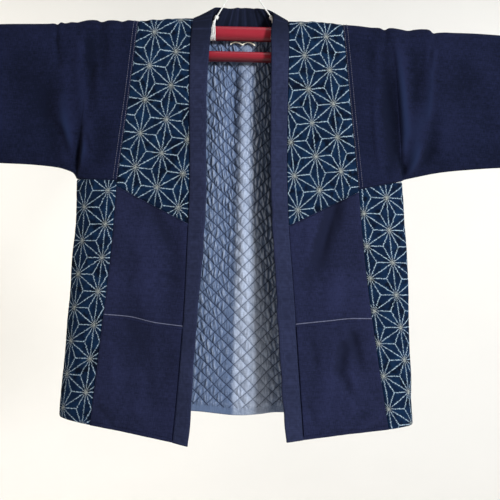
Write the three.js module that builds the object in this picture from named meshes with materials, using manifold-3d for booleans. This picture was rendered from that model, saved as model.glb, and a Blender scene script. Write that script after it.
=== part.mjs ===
// A quilted cotton jacket of the short Japanese workwear kind, hanging open on a lacquered two-bar hanger.
// Millimetres, +Z up, the front faces -Y. The origin is the hang point, under the top of the hanger's cord.
// "left" is the -X side. Every sewn piece is a wall of its own, a seam's gap away from its neighbours.

import * as THREE from 'three';
import Module from 'manifold-3d';

const wasm = await Module();
wasm.setup();

// ---- Driving sizes ----

const CLOTH = 3.4; // wadded and lined cotton: yokes, fronts, side panels and sleeves
const BACK_CLOTH = 2.2; // the back's outer cotton and wadding, without its lining
const LINING = 1.5; // the lining at a quilting seam
const QUILT_RISE = 2.0; // the lining's padding above its seams, at a diamond's middle
const QUILT_STEP = 12.65; // half a diamond's diagonal
const SEAM = 0.3; // the gap that two sewn pieces keep
const POCKET_CLOTH = 1.9;
const PIPING = 2.4; // the piping's width over the pocket's mouth

const FRONT_ROLL = 15; // radius of the cloth's bend over the bar, on the front half
const BACK_ROLL = 18; // and on the back half
const CUFF_X = 680; // from the middle to the end of a sleeve
const SHOULDER_Z = -84; // the crest's height at the armhole, near enough to read the levels by
const NECK_X = 91; // from the middle to the collar's seam at the shoulder
const NECK_DROP = 86; // how far the back neckline has turned down over the roll at the middle, in degrees
const NECK_ROW = 0.9; // and from row to row there

const LINING_COLUMNS = 30; // half diamonds across the back lining
const LINING_ROWS = 56; // half diamonds down it
const LINING_TOP = -100;
const BACK_ROW_STEP = 7; // half diamonds to a row of the back panel
const BACK_COLUMN_STEP = 2; // half diamonds to a column of the back panel

const BAR = { halfHeight: 14, halfDepth: 8, halfLength: 620 };
const RAIL = { top: -140, radius: 9.9, halfLength: 330 };
const CORD_RADIUS = 1.3;
const LINK_RADIUS = 1.1;
const LINK_X = 140;

// ---- Tables: one row for each height or station, all along the garment ----

// Heights z, with the distance from the middle of the collar's free edge and seam, of the seam between the
// front and the sleeve or side panel, and of the side's outermost edge.
const LEFT_LEVELS = [
  { z: -80, free: 54, collar: 92, side: 193, edge: 300 },
  { z: -140, free: 59, collar: 94.5, side: 198.4, edge: 301 },
  { z: -235, free: 61, collar: 94, side: 207.8, edge: 302 },
  { z: -330, free: 60, collar: 90.8, side: 218.6, edge: 304 },
  { z: -395, free: 58.4, collar: 89.4, side: 225.9, edge: 305.5 },
  { z: -460, free: 58.6, collar: 89.8, side: 229.6, edge: 305.5 },
  { z: -530, free: 61.8, collar: 91.1, side: 234.4, edge: 309.5 },
  { z: -610, free: 67.0, collar: 92.8, side: 241.8, edge: 314.6 },
  { z: -705, free: 72.2, collar: 97.1, side: 250.7, edge: 320.1 },
  { z: -800, free: 75.7, collar: 102.9, side: 260.1, edge: 326.4 },
  { z: -885, free: 79.6, collar: 109.6, side: 268.2, edge: 330.5 },
];
const RIGHT_LEVELS = [
  { z: -80, free: 56, collar: 90, side: 190.6, edge: 305 },
  { z: -140, free: 57.4, collar: 90.7, side: 197.2, edge: 307 },
  { z: -235, free: 59, collar: 90.8, side: 207.9, edge: 309 },
  { z: -330, free: 59.8, collar: 91.4, side: 219.0, edge: 311.5 },
  { z: -395, free: 62.1, collar: 93.3, side: 226.8, edge: 313.6 },
  { z: -460, free: 65.9, collar: 97.0, side: 233.2, edge: 319.2 },
  { z: -530, free: 71.2, collar: 103.1, side: 241.4, edge: 325.4 },
  { z: -610, free: 77.5, collar: 110.7, side: 252.4, edge: 330.3 },
  { z: -705, free: 84.8, collar: 119.0, side: 267.8, edge: 334.4 },
  { z: -800, free: 93.1, collar: 127.6, side: 284.2, edge: 339.4 },
  { z: -885, free: 103.5, collar: 135.4, side: 299.4, edge: 343.8 },
];

// How far the front stands before the bar's plane at the collar and at the side, and the back behind it.
const DEPTHS = [
  { z: -95, collar: 15, side: 15, back: 18, backSide: 18 },
  { z: -140, collar: 20, side: 17, back: 20.5, backSide: 19 },
  { z: -235, collar: 24, side: 19, back: 22, backSide: 20 },
  { z: -395, collar: 28, side: 21, back: 23.5, backSide: 21.5 },
  { z: -530, collar: 33, side: 23, back: 25, backSide: 23 },
  { z: -705, collar: 39, side: 25, back: 27, backSide: 25 },
  { z: -885, collar: 45.5, side: 27, back: 29, backSide: 27 },
];

// The top line of shoulder and sleeve, and the sleeve's lower fold, by distance from the middle.
const LEFT_CREST = [
  { x: 0, z: -80 },
  { x: 98, z: -79.4 },
  { x: 145, z: -82.8 },
  { x: 198, z: -86.6 },
  { x: 268, z: -88.2 },
  { x: 318, z: -91.6 },
  { x: 350, z: -95 },
  { x: 458, z: -98.4 },
  { x: 680, z: -112 },
];
const RIGHT_CREST = [
  { x: 0, z: -80 },
  { x: 92, z: -81 },
  { x: 145, z: -81.9 },
  { x: 190, z: -84.6 },
  { x: 254, z: -89.8 },
  { x: 290, z: -91.8 },
  { x: 340, z: -92 },
  { x: 365, z: -94.8 },
  { x: 455, z: -96.4 },
  { x: 680, z: -110 },
];
const LEFT_UNDERARM = [
  { x: 305.5, z: -389 },
  { x: 311, z: -380.5 },
  { x: 320, z: -375.4 },
  { x: 344, z: -368.6 },
  { x: 395, z: -364 },
  { x: 452, z: -362.4 },
  { x: 560, z: -358 },
  { x: 680, z: -352 },
];
const RIGHT_UNDERARM = [
  { x: 313.6, z: -379.6 },
  { x: 318, z: -377.2 },
  { x: 328, z: -374.6 },
  { x: 384, z: -362.4 },
  { x: 440, z: -355.4 },
  { x: 498, z: -350.4 },
  { x: 590, z: -346 },
  { x: 680, z: -342 },
];

// A sleeve's section below the roll, as a share of the way down: half its thickness and the angle of its
// surface's direction from straight up, where it is a closed tube, and half its thickness where it is open
// to the side panel.
const SLEEVE_SECTION = [
  { down: 0.15, closed: 15.5, turn: 90, open: 16.0 },
  { down: 0.34, closed: 16.0, turn: 90, open: 17.4 },
  { down: 0.52, closed: 15.8, turn: 92, open: 18.8 },
  { down: 0.68, closed: 14.8, turn: 96, open: 19.8 },
  { down: 0.81, closed: 13.0, turn: 101, open: 20.5 },
  { down: 0.91, closed: 10.2, turn: 113, open: 20.8 },
  { down: 0.97, closed: 6.6, turn: 138, open: 21.0 },
  { down: 1, closed: 0.15, turn: 180, open: 21.0 },
];

// Soft folds: each runs from (x, z) to (toX, toZ), x from the middle outwards, and stands proud of the cloth
// (plus) or dips into it (minus).
const LEFT_SLEEVE_FOLDS = [
  { x: 307, z: -372, toX: 300, toZ: -270, width: 9, rise: -5 },
  { x: 292, z: -366, toX: 282, toZ: -190, width: 17, rise: 4.5 },
  { x: 322, z: -364, toX: 334, toZ: -230, width: 15, rise: 5 },
  { x: 345, z: -350, toX: 372, toZ: -215, width: 18, rise: -3.5 },
  { x: 262, z: -378, toX: 258, toZ: -260, width: 16, rise: -3 },
  { x: 347, z: -104, toX: 345, toZ: -140, width: 10, rise: -4 },
];
const RIGHT_SLEEVE_FOLDS = [
  { x: 315, z: -368, toX: 320, toZ: -290, width: 9, rise: -5.5 },
  { x: 303, z: -360, toX: 293, toZ: -170, width: 15, rise: 5 },
  { x: 286, z: -364, toX: 272, toZ: -160, width: 16, rise: -6 },
  { x: 264, z: -376, toX: 250, toZ: -220, width: 13, rise: 3.5 },
  { x: 330, z: -358, toX: 340, toZ: -230, width: 15, rise: 5 },
  { x: 352, z: -345, toX: 372, toZ: -250, width: 15, rise: -4 },
];
const LEFT_FRONT_FOLDS = [
  { x: 150, z: -480, toX: 140, toZ: -640, width: 24, rise: 3 },
  { x: 196, z: -520, toX: 190, toZ: -760, width: 22, rise: -3 },
];
const RIGHT_FRONT_FOLDS = [
  { x: 204, z: -430, toX: 186, toZ: -548, width: 17, rise: -5 },
  { x: 168, z: -470, toX: 160, toZ: -600, width: 24, rise: 3.5 },
  { x: 214, z: -700, toX: 204, toZ: -790, width: 20, rise: -3.5 },
];
// On the back x runs from left to right.
const BACK_FOLDS = [
  { x: -2, z: -170, toX: -8, toZ: -760, width: 17, rise: 5 },
  { x: 24, z: -200, toX: 34, toZ: -860, width: 22, rise: -5 },
  { x: 84, z: -240, toX: 96, toZ: -800, width: 24, rise: 5 },
  { x: -48, z: -220, toX: -52, toZ: -800, width: 20, rise: -3.5 },
  { x: -112, z: -330, toX: -122, toZ: -860, width: 28, rise: 4.5 },
  { x: 150, z: -300, toX: 164, toZ: -820, width: 26, rise: -4 },
];

// The hems' heights, and the diagonal seam's and the pocket's along the front from collar to side.
const LEFT = {
  name: 'left',
  sign: -1,
  levels: LEFT_LEVELS,
  crest: LEFT_CREST,
  underarm: LEFT_UNDERARM,
  panelTop: { seam: -391, edge: -389.5 },
  yokeEnd: { collar: -470.2, side: -402 },
  pocketTop: [
    { across: 0, z: -661.2 },
    { across: 0.36, z: -655.8 },
    { across: 0.67, z: -646.8 },
    { across: 1, z: -643.4 },
  ],
  hem: { free: -879, collar: -873.4, side: -849.1, edge: -838.4 },
  sleeveFolds: LEFT_SLEEVE_FOLDS,
  frontFolds: LEFT_FRONT_FOLDS,
};
const RIGHT = {
  name: 'right',
  sign: 1,
  levels: RIGHT_LEVELS,
  crest: RIGHT_CREST,
  underarm: RIGHT_UNDERARM,
  panelTop: { seam: -398, edge: -380 },
  yokeEnd: { collar: -469.7, side: -403 },
  pocketTop: [
    { across: 0, z: -652.7 },
    { across: 0.4, z: -646.2 },
    { across: 0.7, z: -641.3 },
    { across: 1, z: -640.2 },
  ],
  hem: { free: -867.5, collar: -863.3, side: -844.8, edge: -838.7 },
  sleeveFolds: RIGHT_SLEEVE_FOLDS,
  frontFolds: RIGHT_FRONT_FOLDS,
};
const BACK_HEM = [
  { x: -330, z: -838.4 },
  { x: -200, z: -834 },
  { x: -80, z: -830 },
  { x: 0, z: -836.5 },
  { x: 50, z: -832.5 },
  { x: 110, z: -828 },
  { x: 220, z: -834 },
  { x: 345, z: -838.7 },
];

// The collar round the neck, from the left shoulder to the right: its seam and its free edge.
const NECK = [
  { seam: [-92, -13, -88], free: [-54.5, -17, -83] },
  { seam: [-90.8, -3.5, -79.6], free: [-53, -10, -67] },
  { seam: [-84, 9, -79.6], free: [-50, 1, -57] },
  { seam: [-70, 18, -83.5], free: [-41, 11, -53.5] },
  { seam: [-40, 22, -89], free: [-24, 17, -52.6] },
  { seam: [0, 23.5, -91.5], free: [0, 19, -52.4] },
  { seam: [40, 22, -89], free: [27, 17, -51.4] },
  { seam: [70, 18, -84.5], free: [47, 11, -55] },
  { seam: [83.5, 9, -81], free: [56, 1, -61.5] },
  { seam: [88.8, -3.5, -81.2], free: [59.5, -10, -71] },
  { seam: [89.6, -13, -89.5], free: [58, -17, -86] },
];
// The collar's section: share of the way from seam to free edge, and height over the cloth's outer face.
const COLLAR_SECTION = [
  { over: 0, out: 0.6 },
  { over: 0.07, out: 1.5 },
  { over: 0.5, out: 1.9 },
  { over: 0.93, out: 1.4 },
  { over: 1, out: -1.4 },
  { over: 0.93, out: -4.1 },
  { over: 0.07, out: -4.1 },
  { over: 0, out: -3.2 },
];

// The top of the hanger's upper bar, by distance from the middle.
const BAR_TOP = [
  { x: 0, z: -92.4 },
  { x: 200, z: -92.8 },
  { x: 254, z: -94.8 },
  { x: 350, z: -100 },
  { x: 458, z: -103.6 },
  { x: 620, z: -112.6 },
];

// ---- Mathematics ----

const mix = (a, b, share) => a + (b - a) * share;
const clamp = (value, low, high) => Math.min(high, Math.max(low, value));
const ease = (value, from, to) => {
  const share = clamp((value - from) / (to - from), 0, 1);
  return share * share * (3 - 2 * share);
};
const radians = (degrees) => (degrees * Math.PI) / 180;
const range = (count, make) => Array.from({ length: count }, (_, index) => make(index));

// A column of a table as a smooth curve through its rows, straight on beyond them.
function read(table, key, column, at) {
  const rising = table[0][key] < table[1][key];
  const rows = rising ? table : [...table].reverse();
  const last = rows.length - 1;
  const slope = (k) => {
    const a = rows[Math.max(k - 1, 0)];
    const b = rows[Math.min(k + 1, last)];
    return (b[column] - a[column]) / (b[key] - a[key]);
  };
  if (at <= rows[0][key]) return rows[0][column];
  if (at >= rows[last][key]) return rows[last][column];
  let k = 0;
  while (at > rows[k + 1][key]) k += 1;
  const step = rows[k + 1][key] - rows[k][key];
  const t = (at - rows[k][key]) / step;
  const rise = rows[k + 1][column] - rows[k][column];
  const a = slope(k) * step - rise;
  const b = rise - slope(k + 1) * step;
  return rows[k][column] + t * rise + t * (1 - t) * ((1 - t) * a + t * b);
}

// The folds' rise at a point: each a soft ridge or trough that fades at both ends of its line.
function foldRise(folds, x, z) {
  let sum = 0;
  for (const fold of folds) {
    const dx = fold.toX - fold.x;
    const dz = fold.toZ - fold.z;
    const length = Math.hypot(dx, dz);
    const along = ((x - fold.x) * dx + (z - fold.z) * dz) / length;
    const away = ((x - fold.x) * dz - (z - fold.z) * dx) / length;
    const fade = ease(along, -0.15 * length, 0.25 * length) * (1 - ease(along, 0.6 * length, 1.15 * length));
    sum += fold.rise * fade * Math.exp(-((away / fold.width) ** 2));
  }
  return sum;
}

// ---- Closed bodies from grids ----

// An indexed body, turned inside out if its volume comes out negative.
function body(points, triangles) {
  let volume = 0;
  for (const [a, b, c] of triangles) {
    const [p, q, r] = [points[a], points[b], points[c]];
    volume += p[0] * (q[1] * r[2] - q[2] * r[1]);
    volume += p[1] * (q[2] * r[0] - q[0] * r[2]);
    volume += p[2] * (q[0] * r[1] - q[1] * r[0]);
  }
  const faces = volume < 0 ? triangles.map(([a, b, c]) => [a, c, b]) : triangles;
  const geometry = new THREE.BufferGeometry();
  geometry.setAttribute('position', new THREE.Float32BufferAttribute(points.flat(), 3));
  geometry.setIndex(faces.flat());
  geometry.computeVertexNormals();
  return geometry;
}

// A wall between two grids of points, closed along its four edges.
function wall(outer, inner) {
  const rows = outer.length;
  const columns = outer[0].length;
  const points = [...outer.flat(), ...inner.flat()];
  const out = (j, i) => j * columns + i;
  const into = (j, i) => rows * columns + out(j, i);
  const triangles = [];
  for (let j = 0; j < rows - 1; j += 1) {
    for (let i = 0; i < columns - 1; i += 1) {
      triangles.push([out(j, i), out(j, i + 1), out(j + 1, i + 1)], [out(j, i), out(j + 1, i + 1), out(j + 1, i)]);
      triangles.push([into(j, i), into(j + 1, i + 1), into(j, i + 1)], [into(j, i), into(j + 1, i), into(j + 1, i + 1)]);
    }
  }
  const rim = [
    ...range(columns, (i) => [0, i]),
    ...range(rows - 1, (j) => [j + 1, columns - 1]),
    ...range(columns - 1, (i) => [rows - 1, columns - 2 - i]),
    ...range(rows - 1, (j) => [rows - 2 - j, 0]),
  ];
  for (let k = 0; k < rim.length - 1; k += 1) {
    const [a, b] = [rim[k], rim[k + 1]];
    triangles.push([out(...b), out(...a), into(...a)], [out(...b), into(...a), into(...b)]);
  }
  return body(points, triangles);
}

// A body through closed rings of points, with a flat fan at each end.
function rod(rings) {
  const count = rings[0].length;
  const points = rings.flat();
  const triangles = [];
  for (let j = 0; j < rings.length - 1; j += 1) {
    for (let i = 0; i < count; i += 1) {
      const a = j * count + i;
      const b = j * count + ((i + 1) % count);
      triangles.push([a, b, b + count], [a, b + count, a + count]);
    }
  }
  const end = (rings.length - 1) * count;
  for (let i = 1; i < count - 1; i += 1) {
    triangles.push([0, i + 1, i], [end, end + i, end + i + 1]);
  }
  return body(points, triangles);
}

// A round cord along a smooth curve.
function cord(route, radius, steps, sides, closed = false) {
  const curve = new THREE.CatmullRomCurve3(route.map((p) => new THREE.Vector3(...p)), closed, 'centripetal');
  const circle = new THREE.Shape(
    range(sides, (k) => {
      const angle = (2 * Math.PI * k) / sides;
      return new THREE.Vector2(radius * Math.cos(angle), radius * Math.sin(angle));
    }),
  );
  return new THREE.ExtrudeGeometry(circle, { steps, extrudePath: curve, bevelEnabled: false });
}

// ---- The garment's surfaces: each gives an outer point and the way into the cloth ----

const crestZ = (side, x) => read(side.crest, 'x', 'z', Math.abs(x));
const level = (side, column, z) => read(side.levels, 'z', column, z);
const depth = (column, z) => read(DEPTHS, 'z', column, z);

// On the roll over the bar: turn is 0 at the crest and 90 degrees where the cloth starts to hang, and xAt gives
// the distance from the middle at a height.
function rollPoint(side, xAt, turn, roll, facing) {
  const angle = radians(turn);
  const fall = roll * (1 - Math.cos(angle));
  const x = xAt(crestZ(side, xAt(SHOULDER_Z)) - fall);
  const z = crestZ(side, x) - fall;
  return {
    at: [side.sign * x, facing * roll * Math.sin(angle), z],
    into: [0, -facing * Math.sin(angle), -Math.cos(angle)],
  };
}

function frontX(side, across, z) {
  return mix(level(side, 'collar', z) + SEAM / 2, level(side, 'side', z) - SEAM / 2, across);
}

// On the hanging front: across is 0 at the collar and 1 at the side seam.
function frontPoint(side, across, z) {
  const x = frontX(side, across, z);
  const blend = across + 0.12 * Math.sin(Math.PI * across);
  const edges = Math.sin(Math.PI * clamp(across, 0, 1)) ** 0.6;
  const y = -mix(depth('collar', z), depth('side', z), blend) - edges * foldRise(side.frontFolds, x, z);
  return { at: [side.sign * x, y, z], into: [0, 1, 0] };
}

const shift = (point, way, distance) => point.map((value, axis) => value + way[axis] * distance);
const grids = (rows, thick) => [
  rows.map((row) => row.map((p) => p.at)),
  rows.map((row) => row.map((p) => shift(p.at, p.into, thick))),
];

const yokeEnd = (side, across) => mix(side.yokeEnd.collar, side.yokeEnd.side, across);
const frontHem = (side, across) => mix(side.hem.collar, side.hem.side, across);
const pocketTop = (side, across) => read(side.pocketTop, 'across', 'z', across);

// ---- Yokes, fronts and pockets ----

const FRONT_CELLS = 9;
const FRONT_ACROSS = range(FRONT_CELLS + 1, (i) => i / FRONT_CELLS);
const YOKE_TURNS = [0.6, 25, 50, 72, 90];
const YOKE_ROWS = 8;
const FRONT_ROWS = 7; // from the diagonal seam to the pocket's mouth
const POCKET_ROWS = 7; // from there to the hem

function yokeRows(side) {
  const rolled = YOKE_TURNS.map((turn) =>
    FRONT_ACROSS.map((across) => rollPoint(side, (z) => frontX(side, across, z), turn, FRONT_ROLL, -1)),
  );
  const hanging = range(YOKE_ROWS, (j) =>
    FRONT_ACROSS.map((across) => {
      const top = crestZ(side, frontX(side, across, SHOULDER_Z)) - FRONT_ROLL;
      return frontPoint(side, across, mix(top, yokeEnd(side, across), (j + 1) / YOKE_ROWS));
    }),
  );
  return [...rolled, ...hanging];
}

function frontRows(side) {
  const upper = range(FRONT_ROWS, (j) =>
    FRONT_ACROSS.map((across) => {
      const top = yokeEnd(side, across) - SEAM;
      return frontPoint(side, across, mix(top, pocketTop(side, across), j / FRONT_ROWS));
    }),
  );
  const lower = range(POCKET_ROWS + 1, (j) =>
    FRONT_ACROSS.map((across) =>
      frontPoint(side, across, mix(pocketTop(side, across), frontHem(side, across), j / POCKET_ROWS)),
    ),
  );
  return [...upper, ...lower];
}

function pocket(side) {
  const rows = frontRows(side).slice(FRONT_ROWS);
  const inner = rows.map((row) => row.map((p) => shift(p.at, p.into, -SEAM)));
  const outer = rows.map((row) => row.map((p) => shift(p.at, p.into, -SEAM - POCKET_CLOTH)));
  return wall(outer, inner);
}

// The piping lies along the pocket's mouth, just above it, as a half-round strip.
function piping(side) {
  const section = [
    [0, 0],
    [0.15, -0.85],
    [0.5, -1.25],
    [0.85, -0.85],
    [1, 0],
  ];
  const rings = range(FRONT_CELLS + 1, (k) => {
    const across = k / FRONT_CELLS;
    return section.map(([up, out]) => {
      const z = pocketTop(side, across) + SEAM + up * PIPING;
      const [x, y] = pipingBase(side, across, z);
      return [x, y - 0.6 + out, z];
    });
  });
  return rod(rings);
}

// The front's faceted surface under the piping: straight between the grid's columns.
function pipingBase(side, across, z) {
  const cell = Math.min(Math.floor(across * FRONT_CELLS), FRONT_CELLS - 1);
  const a = frontPoint(side, cell / FRONT_CELLS, z).at;
  const b = frontPoint(side, (cell + 1) / FRONT_CELLS, z).at;
  const share = across * FRONT_CELLS - cell;
  return [mix(a[0], b[0], share), mix(a[1], b[1], share)];
}

// ---- Sleeves: flattened tubes over the bar, open at the cuff, the armhole and over the side panel ----

const SLEEVE_TURNS = [90, 60, 30, 0];

function sleeve(side) {
  const bottomEdge = level(side, 'edge', side.panelTop.edge);
  const bottomSeam = level(side, 'side', side.panelTop.seam) + SEAM / 2;
  const underarm = (bottomEdge - bottomSeam) / (CUFF_X - bottomSeam);
  const near = range(6, (k) => (underarm * k) / 5);
  const folds = range(7, (k) => underarm + 0.032 * (k + 1));
  const far = range(4, (k) => mix(folds[6], 1, (k + 1) / 4));
  const columns = [...near, ...folds, ...far];

  const point = (out, row, facing) => {
    const roll = facing < 0 ? FRONT_ROLL : BACK_ROLL;
    const sleeveX = (z) => mix(level(side, 'side', z) + SEAM / 2, CUFF_X, out);
    if (row.turnOver !== undefined) return rollPoint(side, sleeveX, row.turnOver, roll, facing);
    const inside = out <= underarm + 1e-9;
    const bottomX = mix(bottomSeam, CUFF_X, out);
    const bottomZ = inside
      ? mix(side.panelTop.seam, side.panelTop.edge, out / underarm)
      : read(side.underarm, 'x', 'z', bottomX);
    const z = mix(crestZ(side, sleeveX(SHOULDER_Z)) - roll, bottomZ, row.down);
    const x = sleeveX(z);
    const open = inside ? Math.sqrt(Math.max(0, 1 - (out / underarm) ** 2)) : 0;
    const slim = mix(1, 0.86, out);
    const backward = facing > 0 ? mix(3, 0.5, row.down) : 0;
    const seamDepth = facing < 0 ? depth('side', z) : depth('backSide', z);
    const closed = row.closed * slim + (row.down < 1 ? backward * (1 - row.down) : 0);
    const opened = mix(row.open + backward, seamDepth, 1 - ease(out, 0, underarm));
    const fade = ease(out, 0, underarm * 0.8) * ease(row.down, 0, 0.2) * (1 - ease(row.down, 0.86, 1));
    const mirrored = facing < 0 ? 1 : 0.8;
    const y = mix(closed, opened, open) + fade * mirrored * foldRise(side.sleeveFolds, x, z);
    const angle = radians(mix(row.turn, 90, open));
    return {
      at: [side.sign * x, facing * y, z],
      into: [0, -facing * Math.sin(angle), -Math.cos(angle)],
    };
  };
  const half = [...SLEEVE_TURNS.map((turnOver) => ({ turnOver })), ...SLEEVE_SECTION];
  const down = half.filter((row) => row.turnOver === undefined);
  const front = [...down].reverse();
  const rows = [
    ...front.map((row) => columns.map((out) => point(out, row, -1))),
    ...SLEEVE_TURNS.map((turnOver) => columns.map((out) => point(out, { turnOver }, -1))),
    ...[...SLEEVE_TURNS].reverse().slice(1).map((turnOver) => columns.map((out) => point(out, { turnOver }, 1))),
    ...down.map((row) => columns.map((out) => point(out, row, 1))),
  ];
  return wall(...grids(rows, CLOTH));
}

// ---- Side panels: each wraps from the front round the side to the back ----

const PANEL_TURNS = range(11, (k) => k * 18);
const PANEL_ROWS = 9;

function sidePanel(side) {
  const rows = range(PANEL_ROWS + 1, (j) =>
    PANEL_TURNS.map((turn) => {
      const angle = radians(turn);
      const front = turn <= 90;
      const out = Math.sin(angle);
      const top = mix(side.panelTop.seam, side.panelTop.edge, out) - SEAM;
      const seamHem = front ? side.hem.side : read(BACK_HEM, 'x', 'z', side.sign * 260);
      const z = mix(top, mix(seamHem, side.hem.edge, out), j / PANEL_ROWS);
      const seamX = level(side, 'side', z) + SEAM / 2;
      const wide = level(side, 'edge', z) - seamX;
      const deep = front ? depth('side', z) : depth('backSide', z);
      const x = seamX + wide * out;
      const y = -deep * Math.cos(angle);
      const normal = new THREE.Vector2(out / wide, -Math.cos(angle) / deep).normalize();
      return { at: [side.sign * x, y, z], into: [-side.sign * normal.x, -normal.y, 0] };
    }),
  );
  return wall(...grids(rows, CLOTH));
}

// ---- Back and its quilted lining, on one lattice ----

const BACK_TURNS = [0.5, 22, 45, 68, 90];
const latticeX = (step) => (step - LINING_COLUMNS / 2) * QUILT_STEP;
const latticeZ = (step) => LINING_TOP - step * QUILT_STEP;
const sideOf = (x) => (x < 0 ? LEFT : RIGHT);

// The back's outer face at x and z, with its folds fading at the side seams.
function backY(x, z) {
  const side = sideOf(x);
  const share = clamp(Math.abs(x) / level(side, 'side', z), 0, 1);
  const base = mix(depth('back', z), depth('backSide', z), share * share);
  return base + (1 - share ** 4) * ease(-z, 110, 230) * foldRise(BACK_FOLDS, x, z);
}

// Columns: the lattice between the armholes, then a few out to each side seam.
function backColumns() {
  const inner = range(LINING_COLUMNS / BACK_COLUMN_STEP + 1, (k) => ({ x: latticeX(k * BACK_COLUMN_STEP) }));
  const outer = [0.5, 1];
  const left = outer.map((share) => ({ x: latticeX(0), share })).reverse();
  const right = outer.map((share) => ({ x: latticeX(LINING_COLUMNS), share }));
  return [...left, ...inner, ...right];
}

function columnX(column, z) {
  if (column.share === undefined) return column.x;
  const side = sideOf(column.x);
  const seam = level(side, 'side', z) - SEAM;
  return side.sign * mix(Math.abs(column.x), seam, column.share);
}

function back() {
  const columns = backColumns();
  const rolled = BACK_TURNS.map((turn, j) =>
    columns.map((column) => {
      const side = sideOf(column.x);
      const neck = Math.sqrt(Math.max(0, 1 - (column.x / NECK_X) ** 2)) * NECK_DROP;
      const over = Math.max(turn, Math.min(neck, 88) + NECK_ROW * j);
      return rollPoint(side, (z) => Math.abs(columnX(column, z)), over, BACK_ROLL, 1);
    }),
  );
  const levels = range(LINING_ROWS / BACK_ROW_STEP + 1, (k) => latticeZ(k * BACK_ROW_STEP));
  const hanging = levels.slice(1).map((z) =>
    columns.map((column) => {
      const x = columnX(column, z);
      return { at: [x, backY(x, z), z], into: [0, -1, 0] };
    }),
  );
  const first = columns.map((column) => {
    const x = columnX(column, LINING_TOP - 6);
    return { at: [x, backY(x, LINING_TOP - 6), LINING_TOP - 6], into: [0, -1, 0] };
  });
  const hem = columns.map((column) => {
    const x = columnX(column, -836);
    const z = read(BACK_HEM, 'x', 'z', x);
    return { at: [x, backY(x, z), z], into: [0, -1, 0] };
  });
  return wall(...grids([...rolled, first, ...hanging, hem], BACK_CLOTH));
}

// The lining's plain rear face has the back's own points; its quilted face has the whole lattice, with each
// diamond's middle raised over its seams.
function backLining() {
  const fineRows = LINING_ROWS + 2;
  const zAt = (x, j) => {
    if (j === 0) return LINING_TOP - 6;
    return j <= LINING_ROWS ? latticeZ(j) : read(BACK_HEM, 'x', 'z', x) + 1;
  };
  const rear = (x, z) => backY(x, z) - BACK_CLOTH - SEAM;
  const points = [];
  const fine = range(fineRows, (j) =>
    range(LINING_COLUMNS + 1, (i) => {
      const x = latticeX(i);
      const z = zAt(x, j);
      const border = i === 0 || i === LINING_COLUMNS || j < 2 || j >= LINING_ROWS;
      const middle = (i + j) % 2 === 1 && !border;
      points.push([x, rear(x, z) - LINING - (middle ? QUILT_RISE : 0), z]);
      return points.length - 1;
    }),
  );
  const rearLevels = [...range(LINING_ROWS / BACK_ROW_STEP + 1, (k) => k * BACK_ROW_STEP), LINING_ROWS + 1];
  const coarse = rearLevels.map((j) =>
    range(LINING_COLUMNS / BACK_COLUMN_STEP + 1, (k) => {
      const x = latticeX(k * BACK_COLUMN_STEP);
      const z = zAt(x, j);
      points.push([x, rear(x, z), z]);
      return points.length - 1;
    }),
  );
  const triangles = [];
  for (let j = 0; j < fineRows - 1; j += 1) {
    for (let i = 0; i < LINING_COLUMNS; i += 1) {
      const [a, b, c, d] = [fine[j][i], fine[j][i + 1], fine[j + 1][i + 1], fine[j + 1][i]];
      if ((i + j) % 2 === 0) triangles.push([a, b, c], [a, c, d]);
      else triangles.push([a, b, d], [b, c, d]);
    }
  }
  for (let j = 0; j < coarse.length - 1; j += 1) {
    for (let i = 0; i < coarse[0].length - 1; i += 1) {
      const [a, b, c, d] = [coarse[j][i], coarse[j][i + 1], coarse[j + 1][i + 1], coarse[j + 1][i]];
      triangles.push([a, c, b], [a, d, c]);
    }
  }
  const border = (grid) => [
    grid[0],
    grid.map((row) => row[row.length - 1]),
    [...grid[grid.length - 1]].reverse(),
    grid.map((row) => row[0]).reverse(),
  ];
  const [fineEdges, coarseEdges] = [border(fine), border(coarse)];
  fineEdges.forEach((edge, k) => zip(edge, coarseEdges[k], points, triangles));
  return body(points, triangles);
}

// Closes the strip between a fine row of points and a coarse one with the same ends.
function zip(fine, coarse, points, triangles) {
  const apart = (a, b) => Math.hypot(...points[a].map((value, axis) => value - points[b][axis]));
  let i = 0;
  let k = 0;
  while (i < fine.length - 1 || k < coarse.length - 1) {
    const last = i === fine.length - 1;
    const ahead = k < coarse.length - 1 && (last || apart(fine[i], coarse[k + 1]) < apart(fine[i + 1], coarse[k]));
    if (ahead) {
      triangles.push([fine[i], coarse[k], coarse[k + 1]]);
      k += 1;
    } else {
      triangles.push([fine[i], coarse[k], fine[i + 1]]);
      i += 1;
    }
  }
}

// ---- Collar: one padded band from hem to hem, standing behind the neck ----

function collar() {
  const upFront = (side) => {
    const yoke = yokeRows(side).slice(YOKE_TURNS.length - 1);
    const front = frontRows(side);
    const heights = [...yoke, ...front.slice(1)].map((row) => row[0].at[2]);
    return heights.map((z, k) => {
      const last = k === heights.length - 1;
      const freeZ = last ? side.hem.free : z;
      const y = -depth('collar', z);
      return {
        seam: [side.sign * (level(side, 'collar', z) - SEAM / 2), y, z],
        free: [side.sign * level(side, 'free', freeZ), y - 1, freeZ],
      };
    });
  };
  const stations = [...upFront(LEFT).reverse(), ...NECK, ...upFront(RIGHT)];
  const rings = stations.map((station, k) => {
    const before = stations[Math.max(k - 1, 0)];
    const after = stations[Math.min(k + 1, stations.length - 1)];
    const middle = (s) => new THREE.Vector3(...s.seam).add(new THREE.Vector3(...s.free));
    const along = middle(after).sub(middle(before)).normalize();
    const seam = new THREE.Vector3(...station.seam);
    const over = new THREE.Vector3(...station.free).sub(seam);
    const outward = new THREE.Vector3().crossVectors(over, along).normalize();
    return COLLAR_SECTION.map(({ over: share, out }) =>
      seam.clone().addScaledVector(over, share).addScaledVector(outward, out).toArray(),
    );
  });
  return rod(rings);
}

// ---- Hanger loop on the lining, at the neck ----

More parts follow.
